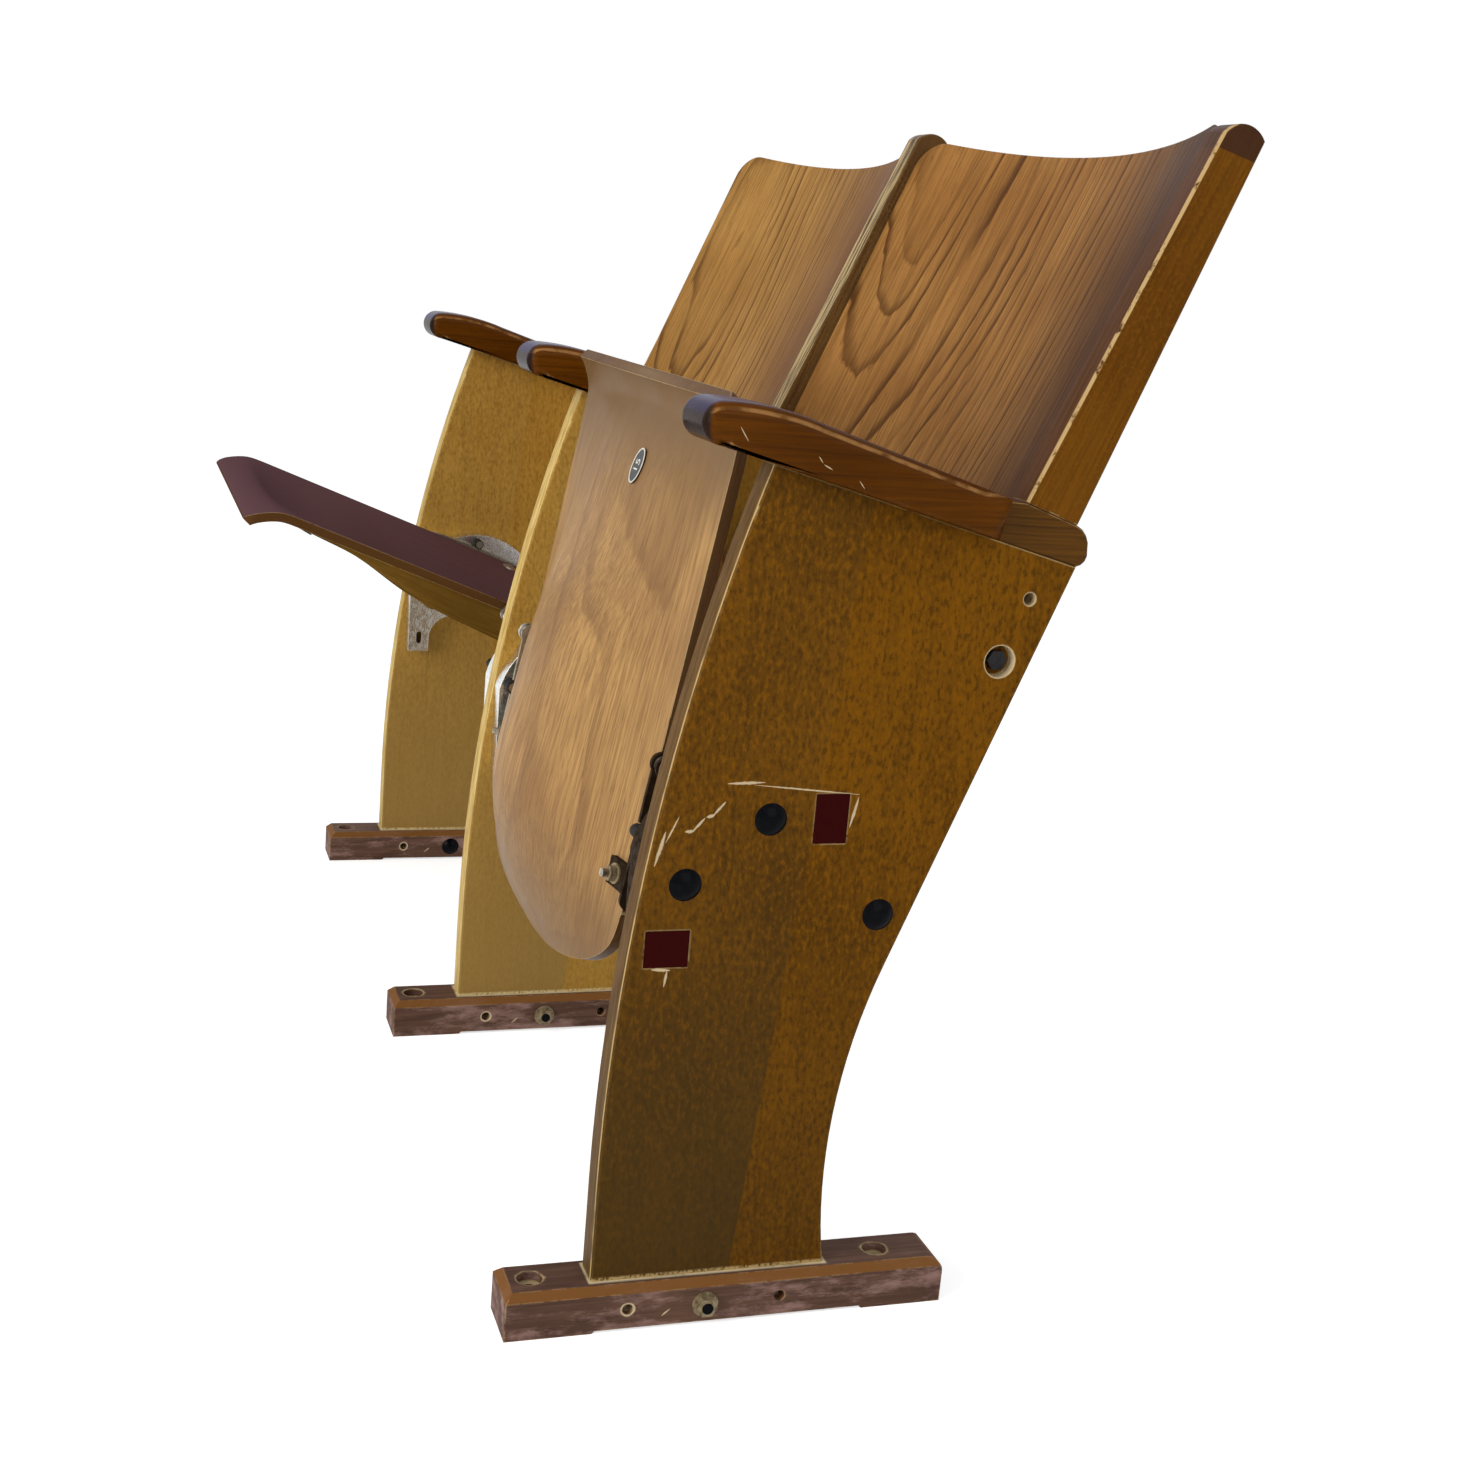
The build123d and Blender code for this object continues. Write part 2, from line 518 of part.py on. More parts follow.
def housing(x_face, inward):
    """Pressed steel pan on the board: flat face, side wall, slot and bolt holes."""
    d = [x_face + inward * v for v in (0.0, PAN_D - PAN_T, PAN_D)]
    body = prism(pan_outline(), d[0], d[2])
    body -= prism(pan_outline(-PAN_T), d[0] - inward, d[1])
    for centre in BOLTS:
        body -= rod(centre, BOLT_HOLE_R, d[0], d[2] + inward)
    slot = Pos(*PAN_SLOT) * Rot(0, 0, 90) * SlotOverall(PAN_SLOT_L, PAN_SLOT_W)
    body -= prism(slot, d[0], d[2] + inward)
    for centre in stop_points():
        body -= rod(centre, STOP_STUD_R + 0.02, d[0], d[2] + inward)
    for centre in rivet_points():
        body -= rod(centre, 2.52, d[0], d[2] + inward)
    return body


def spacers(x_face, inward):
    """Tubes that keep the pan from crushing under its bolts."""
    out = Part()
    for centre in BOLTS:
        tube = rod(centre, 7.0, x_face, x_face + inward * (PAN_D - PAN_T))
        out += tube - rod(centre, BOLT_HOLE_R, x_face - 30, x_face + 30 * inward + 30)
    return out


def boss(x_face, inward):
    """Bronze washer under the front nut."""
    d0, d1 = x_face + inward * PAN_D, x_face + inward * (PAN_D + BOSS_H)
    return rod(BOLTS[1], BOSS_R, d0, d1) - rod(BOLTS[1], BOLT_HOLE_R, d0 - inward, d1 + inward)


def rivet_points():
    """Two rivets holding the pivot lug to the pan."""
    return (124.0, 366.0), (143.0, 362.0)


def lug_plate(x_face, inward):
    """Lug from the first bolt to the pivot eye."""
    spots = ((PIVOT, EYE_R), (BOLTS[0], 11.5), (rivet_points()[0], 9.0), (rivet_points()[1], 9.0))
    edges = [e for centre, r in spots for e in (Pos(*centre) * Circle(r)).edges()]
    d0, d1 = x_face + inward * PAN_D, x_face + inward * (PAN_D + LUG_T)
    body = prism(make_hull(edges), d0, d1)
    body -= rod(PIVOT, PIN_R, d0 - inward, d1 + inward)
    body -= rod(BOLTS[0], BOLT_HOLE_R, d0 - inward, d1 + inward)
    for centre in rivet_points():
        body -= rod(centre, 2.52, d0 - inward, d1 + inward)
    for centre in stop_points():
        body -= rod(centre, STOP_R + 1.0, d0 - inward, d1 + inward)
    return body


def lug_rivets(x_face, inward):
    """Low-headed rivets through lug and pan."""
    out = Part()
    for centre in rivet_points():
        shank = rod(centre, 2.5, x_face + inward * (PAN_D - PAN_T - 1.2), x_face + inward * (PAN_D + LUG_T))
        heads = rod(centre, 4.5, x_face + inward * (PAN_D - PAN_T - 1.5), x_face + inward * (PAN_D - PAN_T))
        heads += rod(centre, 4.5, x_face + inward * (PAN_D + LUG_T), x_face + inward * (PAN_D + LUG_T + 1.5))
        out += shank + heads
    return out


def pivot_pin(x_face, inward):
    """Shouldered pin: head behind the lug, collar, journal and end ring."""
    def d(v):
        return x_face + inward * v

    lug_back, lug_front = PAN_D, PAN_D + LUG_T
    body = rod(PIVOT, PIN_HEAD_R, d(lug_back - 2.5), d(lug_back))
    body += rod(PIVOT, PIN_R, d(lug_back), d(ARM_PLATE_D + ARM_PLATE_T + 0.6))
    body += rod(PIVOT, PIN_HEAD_R, d(lug_front), d(ARM_PLATE_D - 0.5))
    return body + rod(PIVOT, 5.5, d(ARM_PLATE_D + ARM_PLATE_T + 0.6), d(ARM_PLATE_D + ARM_PLATE_T + 2.2))


def local_to_world(a, n, stored):
    """(Y, Z) of a point given along and square to the seat."""
    t = math.radians(SEAT_SLOPE_DOWN + (SEAT_TRAVEL if stored else 0.0))
    return (PIVOT[0] - math.cos(t) * a + math.sin(t) * n, PIVOT[1] + math.sin(t) * a + math.cos(t) * n)


def stop_points():
    """Centres of the stored-seat stop and the lowered-seat stop."""
    up = local_to_world(UP_STOP_A, UP_STOP_N, True)
    down = local_to_world(DOWN_STOP_A, ARM_PLATE_HIGH + STOP_R + STOP_GAP, False)
    return up, down


def stop_studs(x_face, inward):
    """Steel studs riveted in the pan for the two rubber stops."""
    out = Part()
    for centre in stop_points():
        stud = rod(centre, STOP_STUD_R, x_face + inward * (PAN_D - PAN_T), x_face + inward * 38.6)
        stud += rod(centre, 4.0, x_face + inward * (PAN_D - PAN_T - 1.5), x_face + inward * (PAN_D - PAN_T))
        out += stud + rod(centre, 4.0, x_face + inward * 38.1, x_face + inward * 39.3)
    return out


def stop_sleeves(x_face, inward):
    """Rubber sleeves on the stop studs."""
    out = Part()
    for centre in stop_points():
        tube = rod(centre, STOP_R, x_face + inward * PAN_D, x_face + inward * 38.1)
        out += tube - rod(centre, STOP_STUD_R, x_face, x_face + inward * 45)
    return out


def seat_arm(side, raw):
    """Steel arm beside one seat edge, in the seat frame; side is -1 or +1 in local X."""
    edge = side * SEAT_W / 2
    gap = PITCH / 2 - HALF - SEAT_W / 2          # board face to seat edge
    d_out = edge + side * (gap - ARM_PLATE_D)
    d_in = edge + side * (gap - ARM_PLATE_D - ARM_PLATE_T)
    lo, hi, end = ARM_PLATE_LOW, ARM_PLATE_HIGH, ARM_PLATE_END_A
    blade = outline((-EYE_R, 0), ((0, -EYE_R), (EYE_R, 0)), ((0, EYE_R), (-EYE_R, 0)))
    shape = outline((2, hi - 3), (-8, hi), (end + 8, hi), ((end, (lo + hi) / 2), (end + 8, lo)), (0, lo), (4, 0))
    shape += blade
    shape -= Circle(BUSH_R)
    notch_r = STOP_R + 1.6
    notch_n = UP_STOP_N + STOP_R + STOP_GAP - notch_r
    shape -= Pos(UP_STOP_A, notch_n) * Circle(notch_r)
    shape -= Pos(UP_STOP_A, notch_n - 10) * Rectangle(2 * notch_r, 20)
    body = prism(shape, d_out, d_in)
    foot_x = sorted((d_out, edge - side * FOOT_REACH))
    a0, a1 = FOOT_A
    pad = Pos(sum(foot_x) / 2, (a0 + a1) / 2, -15) * Box(foot_x[1] - foot_x[0], a1 - a0, 60)
    foot = (Pos(0, 0, -FOOT_T) * raw & pad) - Pos(0, 0, -0.05) * raw
    join_x = sorted((d_out, edge - side * 1.5))
    foot += Pos(sum(join_x) / 2, (a0 + a1) / 2, -FOOT_T / 2 - 0.1) * Box(
        join_x[1] - join_x[0], a1 - a0, FOOT_T - 0.3)
    body += foot
    return body - seat_bolt_axis(side) * Cylinder(SEAT_BOLT_R + 0.15, 60)


def arm_bush(side):
    """Bronze bush pressed in the arm eye."""
    gap = PITCH / 2 - HALF - SEAT_W / 2
    out = side * (SEAT_W / 2 + gap - ARM_PLATE_D)
    inn = out - side * ARM_PLATE_T
    return rod((0, 0), BUSH_R, out, inn) - rod((0, 0), PIN_R + PIN_FIT, out + side, inn - side)


# ================================================================ through bolts
def capped_bolts(x, outer):
    """Three bolts with domed caps on the outer face of an end standard."""
    out = Part()
    face = x + outer * HALF
    for k, centre in enumerate(BOLTS):
        tip = x - outer * (HALF + bolt_reach(k))
        shank = rod(centre, BOLT_R, face, tip)
        cap = Plane(origin=(face, *centre), z_dir=(outer, 0, 0)) * dome(CAP_R, CAP_H)
        out += shank + cap
    return out


def bolt_reach(k):
    """How far the tip of bolt k stands off the board face."""
    return (PAN_D + LUG_T, PAN_D + BOSS_H, PAN_D)[k] + NUT_H + 1.0


def mid_bolts(x):
    """Three studs through the middle standard and both its housings."""
    out = Part()
    for k, centre in enumerate(BOLTS):
        out += rod(centre, BOLT_R, x - HALF - bolt_reach(k), x + HALF + bolt_reach(k))
    return out


def housing_nuts(x_face, inward):
    """Hexagon nuts on the housing side."""
    out = Part()
    for k, centre in enumerate(BOLTS):
        d0 = bolt_reach(k) - NUT_H - 1.0
        nut = hexagon(centre, NUT_AF, x_face + inward * d0, x_face + inward * (d0 + NUT_H))
        out += nut - rod(centre, BOLT_R + 0.02, x_face, x_face + inward * 60)
    return out


def back_bolts():
    """Bolts that hold the battens to the standards."""
    out = Part()
    reach = HALF + BATTEN_W + 6.0
    for name, x in SIDES.items():
        outer = {"far": -1, "mid": 0, "near": 1}[name]
        if outer:
            face = x + outer * (HALF - BACK_RECESS_DEPTH)
            out += rod(BACK_BOLT, BACK_BOLT_R, face + outer * 0.5, x - outer * reach)
            out += hexagon(BACK_BOLT, 13.0, face, face + outer * 5.0)
        else:
            out += rod(BACK_BOLT, BACK_BOLT_R, x - reach, x + reach)
    return out


def back_nuts():
    """Nuts and washers on the batten ends of the back bolts."""
    out = Part()
    for x_face, inward in ((PITCH - HALF, -1), (HALF, 1), (-HALF, -1), (HALF - PITCH, 1)):
        s = x_face + inward * BATTEN_W
        piece = rod(BACK_BOLT, 8.0, s, s + inward * 1.2)
        piece += hexagon(BACK_BOLT, 13.0, s + inward * 1.2, s + inward * 5.2)
        out += piece - rod(BACK_BOLT, BACK_BOLT_R + 0.02, x_face, x_face + inward * 60)
    return out


def rail_bolts():
    """Cross bolts through the rails and tenons, dome to one side."""
    out = Part()
    w = RAIL_W / 2
    for name, x in SIDES.items():
        way = 1 if name == "far" else -1
        centre = (CROSS_BOLT_Y, CROSS_BOLT_Z)
        out += rod(centre, CROSS_BOLT_R, x + way * w, x - way * (w + 8.0))
        out += Plane(origin=(x + way * w, *centre), z_dir=(way, 0, 0)) * dome(10.0, 5.0)
    return out


def rail_nuts():
    """Washers and hexagon nuts of the cross bolts."""
    out = Part()
    w = RAIL_W / 2
    for name, x in SIDES.items():
        way = -1 if name == "far" else 1
        centre = (CROSS_BOLT_Y, CROSS_BOLT_Z)
        s = x + way * w
        piece = rod(centre, 9.5, s, s + way * 1.5) + hexagon(centre, 13.0, s + way * 1.5, s + way * 7.0)
        out += piece - rod(centre, CROSS_BOLT_R + 0.02, x, x + way * 60)
    return out


def arm_dowels():
    """Dowels between standards and armrests."""
    out = Part()
    for x in SIDES.values():
        for y in DOWEL_Y:
            out += dowel(x, y)
    return out


def post_bolts():
    """Long studs in the feet of the back posts."""
    out = Part()
    for x in SIDES.values():
        out += post_bolt(x)
    return out


# ================================================================ assembly
def build():
    """All pieces by node name, in design coordinates."""
    nodes = {}
    for name, x in SIDES.items():
        outer = {"far": -1, "mid": 0, "near": 1}[name]
        nodes[f"{name}_rail"] = foot_rail(x)
        nodes[f"{name}_standard"] = standard(x, outer)
        nodes[f"{name}_armrest"] = armrest(x)
        nodes[f"{name}_post"] = back_post(x, POST_EXTRA[name])
    nodes["inlay_plugs"] = inlay_plugs(PITCH + HALF)
    faces = {"far_outer": (HALF - PITCH, 1), "far_inner": (-HALF, -1),
             "near_inner": (HALF, 1), "near_outer": (PITCH - HALF, -1)}
    nuts, studs, sleeves, bosses, tubes, rivets = Part(), Part(), Part(), Part(), Part(), Part()
    for name, (face, inward) in faces.items():
        nodes[f"{name}_housing"] = housing(face, inward)
        nodes[f"{name}_lug"] = lug_plate(face, inward)
        nodes[f"{name}_pivot_pin"] = pivot_pin(face, inward)
        nodes[f"{name}_batten"] = batten(face, inward, math.copysign(PITCH / 2, face))
        nuts += housing_nuts(face, inward)
        studs += stop_studs(face, inward)
        sleeves += stop_sleeves(face, inward)
        bosses += boss(face, inward)
        tubes += spacers(face, inward)
        rivets += lug_rivets(face, inward)
    nodes.update(housing_nuts=nuts, stop_studs=studs, stop_sleeves=sleeves,
                 bronze_washers=bosses, bolt_spacers=tubes, lug_rivets=rivets)
    nodes["capped_bolts"] = capped_bolts(PITCH, 1) + capped_bolts(-PITCH, -1)
    nodes["mid_bolts"] = mid_bolts(0.0)
    nodes["back_bolts"], nodes["back_nuts"] = back_bolts(), back_nuts()
    nodes["rail_bolts"], nodes["rail_nuts"] = rail_bolts(), rail_nuts()
    nodes["arm_dowels"], nodes["post_studs"] = arm_dowels(), post_bolts()
    raw = seat_blank()
    shell = seat_shell(raw)
    arms = {"left": seat_arm(-1, raw), "right": seat_arm(1, raw)}
    for name, x, stored in (("near", PITCH / 2, True), ("far", -PITCH / 2, False)):
        nodes[f"{name}_back_panel"] = back_panel(x)
        frame = seat_frame(x, stored)
        nodes[f"{name}_seat"] = frame * shell
        nodes[f"{name}_seat_bolts"] = frame * seat_bolts()
        nodes[f"{name}_seat_nuts"] = frame * seat_nuts()
        nodes[f"{name}_number_plate"] = frame * number_plate()
        nodes[f"{name}_bushes"] = frame * (arm_bush(-1) + arm_bush(1))
        for tag, arm in arms.items():
            nodes[f"{name}_seat_arm_{tag}"] = frame * arm
    return nodes


os.makedirs("parts", exist_ok=True)
for node, shape in build().items():
    export_step(Pos(0, -ORIGIN_Y, 0) * shape, f"parts/{node}.step")
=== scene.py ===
"""Looks of a two-place auditorium seat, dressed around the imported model.

Lengths are metres in the row frame: X runs along the row, Y from front to back,
Z is up. The two seats ride on bodies of their own, everything else on the frame."""

import logging
import math
from dataclasses import dataclass, replace
from enum import Enum
from typing import Any, Callable, Optional, Sequence

import bpy
import numpy as np
from mathutils import Matrix, Quaternion, Vector


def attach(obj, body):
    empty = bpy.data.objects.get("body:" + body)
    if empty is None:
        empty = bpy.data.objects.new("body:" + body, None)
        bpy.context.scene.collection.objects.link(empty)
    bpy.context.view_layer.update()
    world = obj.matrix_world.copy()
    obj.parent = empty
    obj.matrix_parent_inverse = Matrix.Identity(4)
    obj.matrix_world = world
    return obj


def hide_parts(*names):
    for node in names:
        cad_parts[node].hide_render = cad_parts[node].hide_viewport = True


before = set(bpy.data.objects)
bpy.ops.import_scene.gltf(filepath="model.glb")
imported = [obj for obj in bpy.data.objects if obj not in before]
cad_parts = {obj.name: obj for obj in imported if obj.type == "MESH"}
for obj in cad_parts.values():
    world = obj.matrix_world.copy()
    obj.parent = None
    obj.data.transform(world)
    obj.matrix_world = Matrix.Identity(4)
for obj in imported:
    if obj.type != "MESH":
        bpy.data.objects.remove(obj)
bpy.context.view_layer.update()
log = logging.getLogger("auditorium_seat")

MM = 0.001
PITCH = 525 * MM                 # centre to centre of neighbouring standards
BOARD_T = 24 * MM                # standards and back posts
FRONT_OFFSET = 150.5 * MM        # row origin behind the front end of the foot rails
OUTER_FACE_X = PITCH + BOARD_T / 2
SIDES = {"far": -PITCH, "mid": 0.0, "near": PITCH}

Colour = tuple[float, float, float, float]
Place = tuple[float, float, float]
Socket = bpy.types.NodeSocket
Node = bpy.types.Node
Tree = bpy.types.NodeTree
Material = bpy.types.Material
Thing = bpy.types.Object


def srgb(red: int, green: int, blue: int) -> Colour:
    """Turn a colour as seen on a screen into the linear one that a shader takes.

    Args:
        red: Red part, 0 to 255.
        green: Green part, 0 to 255.
        blue: Blue part, 0 to 255.

    Returns:
        Linear colour with full alpha.
    """
    def linear(part: int) -> float:
        """Linear value of one part."""
        v = part / 255
        return v / 12.92 if v <= 0.04045 else ((v + 0.055) / 1.055) ** 2.4
    return linear(red), linear(green), linear(blue), 1.0


def side_point(y: float, z: float) -> Place:
    """Row-frame point at millimetres behind the front end of the rails and above the floor."""
    return 0.0, y * MM - FRONT_OFFSET, z * MM


# ------------------------------------------------------------------ node wiring
class Net:
    """Adds nodes to one shader tree and wires them."""

    def __init__(self, tree: Tree) -> None:
        """Keep the tree that the nodes go to."""
        self.tree = tree

    def node(self, kind: str, **settings: Any) -> Node:
        """Add a node.

        Args:
            kind: Blender's identifier of the node.
            **settings: Properties to set on it.

        Returns:
            The new node.
        """
        made = self.tree.nodes.new(kind)
        for name, value in settings.items():
            setattr(made, name, value)
        return made

    def feed(self, socket: Socket, value: Any) -> None:
        """Link a socket to an input, or set a plain value on it.

        Args:
            socket: The input.
            value: Socket or plain value; None leaves the input as it is.
        """
        if isinstance(value, Socket):
            self.tree.links.new(value, socket)
        elif value is not None:
            socket.default_value = value

    def supply(self, node: Node, **inputs: Any) -> Node:
        """Feed inputs of a node by their names.

        Args:
            node: The node.
            **inputs: Values or sockets by socket name, with _ for a space.

        Returns:
            The same node.
        """
        for name, value in inputs.items():
            self.feed(node.inputs[name.replace("_", " ")], value)
        return node

    def math(self, operation: str, a: Any, b: Any = None, c: Any = None, clamp: bool = False) -> Socket:
        """One math node.

        Args:
            operation: Name of the operation.
            a: First value or socket.
            b: Second value or socket.
            c: Third value or socket.
            clamp: Keep the result from 0 to 1.

        Returns:
            The result socket.
        """
        made = self.node("ShaderNodeMath", operation=operation, use_clamp=clamp)
        for socket, value in zip(made.inputs, (a, b, c)):
            self.feed(socket, value)
        return made.outputs[0]

    def times(self, a: Any, b: Any) -> Socket:
        """Product of two values."""
        return self.math("MULTIPLY", a, b)

    def plus(self, a: Any, b: Any) -> Socket:
        """Sum of two values."""
        return self.math("ADD", a, b)

    def minus(self, a: Any, b: Any) -> Socket:
        """First value less the second."""
        return self.math("SUBTRACT", a, b)

    def larger(self, a: Any, b: Any) -> Socket:
        """Larger one of two values."""
        return self.math("MAXIMUM", a, b)

    def off(self, a: Any, b: Any = 0.0) -> Socket:
        """Distance between two values."""
        return self.math("ABSOLUTE", self.minus(a, b))

    def vector(self, operation: str, a: Any, b: Any = None, scale: Any = None) -> Socket:
        """One vector math node.

        Args:
            operation: Name of the operation.
            a: First vector or socket.
            b: Second vector or socket.
            scale: Factor of the SCALE operation.

        Returns:
            The vector result, or the value for DOT_PRODUCT, LENGTH and DISTANCE.
        """
        made = self.node("ShaderNodeVectorMath", operation=operation)
        self.feed(made.inputs[0], a)
        self.feed(made.inputs[1], b)
        if operation == "SCALE":
            self.feed(made.inputs["Scale"], scale)
        return made.outputs["Value" if operation in ("DOT_PRODUCT", "LENGTH", "DISTANCE") else "Vector"]

    def stretch(self, vector: Any, factors: tuple[float, float, float]) -> Socket:
        """Vector with each part multiplied by its own factor."""
        return self.vector("MULTIPLY", vector, factors)

    def split(self, vector: Any) -> tuple[Socket, Socket, Socket]:
        """Take a vector apart.

        Args:
            vector: Vector or socket.

        Returns:
            Its X, Y and Z sockets.
        """
        made = self.node("ShaderNodeSeparateXYZ")
        self.feed(made.inputs[0], vector)
        return made.outputs[0], made.outputs[1], made.outputs[2]

    def join(self, x: Any, y: Any, z: Any) -> Socket:
        """Put a vector together.

        Args:
            x: Value or socket along X.
            y: Value or socket along Y.
            z: Value or socket along Z.

        Returns:
            The vector socket.
        """
        made = self.node("ShaderNodeCombineXYZ")
        for socket, value in zip(made.inputs, (x, y, z)):
            self.feed(socket, value)
        return made.outputs[0]

    def noise(self, vector: Any, scale: Any, detail: float = 3.0, roughness: float = 0.55) -> Socket:
        """Value of a noise texture.

        Args:
            vector: Place socket.
            scale: Features per metre.
            detail: Octaves.
            roughness: Strength of the finer octaves.

        Returns:
            Socket from 0 to 1.
        """
        made = self.supply(self.node("ShaderNodeTexNoise"), Vector=vector, Scale=scale,
                           Detail=detail, Roughness=roughness)
        return made.outputs["Fac"]

    def ease(self, value: Any, low: Any, high: Any, start: Any = 0.0, end: Any = 1.0) -> Socket:
        """Smooth step.

        Args:
            value: What is read.
            low: Value where the step begins.
            high: Value where it ends.
            start: Result below it.
            end: Result above it.

        Returns:
            The eased socket.
        """
        made = self.supply(self.node("ShaderNodeMapRange", interpolation_type="SMOOTHSTEP"),
                           Value=value, From_Min=low, From_Max=high, To_Min=start, To_Max=end)
        return made.outputs["Result"]

    def fade(self, value: Any, low: Any, high: Any, start: Any = 1.0) -> Socket:
        """Smooth step down to nothing, from start below low."""
        return self.ease(value, low, high, start, 0.0)

    def mix(self, factor: Any, a: Any, b: Any) -> Socket:
        """Mix two colours.

        Args:
            factor: Share of the second.
            a: First colour.
            b: Second colour.

        Returns:
            The mixed colour.
        """
        made = self.node("ShaderNodeMix", data_type="RGBA", clamp_factor=True)
        self.feed(made.inputs[0], factor)
        self.feed(made.inputs[6], a)
        self.feed(made.inputs[7], b)
        return made.outputs[2]

    def place(self, group: Tree, **inputs: Any) -> Node:
        """Place a node group and feed its inputs by name."""
        return self.supply(self.node("ShaderNodeGroup", node_tree=group), **inputs)


def clear_net(owner: bpy.types.ID) -> Net:
    """Empty the shader tree of a material or world.

    Args:
        owner: The material or world.

    Returns:
        A net on its tree.
    """
    owner.use_nodes = True
    owner.node_tree.nodes.clear()
    return Net(owner.node_tree)


ORIGIN = (0.0, 0.0, 0.0)
VALUE, VECTOR = "NodeSocketFloat", "NodeSocketVector"


class Effects:
    """Shared effects, each a node group that is built once."""

    made: dict[str, Tree] = {}

    @classmethod
    def get(cls, name: str, ins: dict[str, Any], outs: Sequence[str],
            wire: Callable[[Net, dict[str, Socket]], dict[str, Socket]]) -> Tree:
        """Fetch a group, building it on its first use.

        Args:
            name: Name of the group.
            ins: Default of each input; a tuple stands for a vector, a number for a value.
            outs: Names of the outputs: Normal is a vector, the others are values.
            wire: Wires the group and returns the socket of each output.

        Returns:
            The group's tree.
        """
        if name not in cls.made:
            tree = bpy.data.node_groups.new(name, "ShaderNodeTree")
            for label, default in ins.items():
                kind = VECTOR if isinstance(default, tuple) else VALUE
                socket = tree.interface.new_socket(label, in_out="INPUT", socket_type=kind)
                socket.default_value = default
            for label in outs:
                kind = VECTOR if label == "Normal" else VALUE
                tree.interface.new_socket(label, in_out="OUTPUT", socket_type=kind)
            net = Net(tree)
            start, end = net.node("NodeGroupInput"), net.node("NodeGroupOutput")
            results = wire(net, {label: start.outputs[label] for label in ins})
            for label in outs:
                net.feed(end.inputs[label], results[label])
            cls.made[name] = tree
        return cls.made[name]

    @classmethod
    def figure(cls) -> Tree:
        """Wood figure about a pith: growth lines, broad tone, fibres and pores; grain runs along Z.

        Returns:
            The group's tree.
        """
        def wire(net: Net, put: dict[str, Socket]) -> dict[str, Socket]:
            """Nested long ellipsoids bent by slow noise, with stretched fibre noise over them.

            Args:
                net: Net of the group.
                put: Its inputs.

            Returns:
                Its outputs.
            """
            x, y, z = net.split(net.vector("SUBTRACT", put["Vector"], put["Pith"]))
            seeded = net.vector("ADD", put["Vector"], net.join(put["Seed"], put["Seed"], 0.0))
            long = net.stretch(seeded, (1.0, 1.0, 0.3))
            sway = net.minus(net.noise(long, 8.0, 1.5, 0.45), 0.5)
            ripple = net.minus(net.noise(long, 60.0, 2.0, 0.5), 0.5)
            radius = net.vector("LENGTH", net.join(x, y, net.times(z, put["Stretch"])))
            bent = net.math("MULTIPLY_ADD", sway, put["Sway"], radius)
            bent = net.math("MULTIPLY_ADD", ripple, net.times(put["Sway"], 0.08), bent)
            uneven = net.plus(bent, net.times(net.noise(net.join(bent, 0.0, 0.0), 30.0, 1.0), 0.02))
            phase = net.math("FRACT", net.times(uneven, put["Rings"]))
            sharp = net.times(net.ease(phase, 0.55, 0.95), net.fade(phase, 0.95, 1.0))
            slow = net.join(bent, net.times(z, 0.12), 0.0)
            strength = net.ease(net.noise(slow, 55.0, 1.0), 0.35, 0.6, 0.35, 1.0)
            line = net.times(net.larger(sharp, net.times(phase, 0.35)), strength)
            tone = net.noise(net.join(bent, put["Seed"], net.times(z, 0.6)), 14.0, 2.0)
            fibre = net.noise(net.stretch(seeded, (1.0, 1.0, 0.025)), put["Fibres"], 4.0, 0.62)
            pores = net.noise(net.stretch(seeded, (1.0, 1.0, 0.06)),
                              net.times(put["Fibres"], 2.4), 2.0, 0.6)
            return {"Line": line, "Tone": tone, "Fibre": fibre, "Pore": net.ease(pores, 0.58, 0.72)}
        ins = {"Vector": ORIGIN, "Pith": ORIGIN, "Stretch": 0.2, "Sway": 0.03, "Rings": 80.0,
               "Fibres": 500.0, "Seed": 0.0}
        return cls.get("wood_figure", ins, ("Line", "Tone", "Fibre", "Pore"), wire)

    @classmethod
    def wear(cls) -> Tree:
        """Worn arrises: 1 where the surface turns sharply, broken up by noise.

        Returns:
            The group's tree.
        """
        def wire(net: Net, put: dict[str, Socket]) -> dict[str, Socket]:
            """Compare the rounded normal with the true one.

            Args:
                net: Net of the group.
                put: Its inputs.

            Returns:
                Its outputs.
            """
            rounded = net.supply(net.node("ShaderNodeBevel", samples=6), Radius=put["Radius"])
            true = net.node("ShaderNodeNewGeometry").outputs["Normal"]
            turn = net.minus(1.0, net.vector("DOT_PRODUCT", rounded.outputs[0], true))
            patchy = net.noise(put["Vector"], put["Grain"], 4.0, 0.65)
            share = net.times(net.ease(turn, 0.01, 0.16),
                              net.ease(patchy, put["Cover"], net.plus(put["Cover"], 0.12)))
            return {"Mask": share, "Normal": rounded.outputs[0]}
        ins = {"Vector": ORIGIN, "Radius": 0.002, "Grain": 60.0, "Cover": 0.45}
        return cls.get("worn_arris", ins, ("Mask", "Normal"), wire)

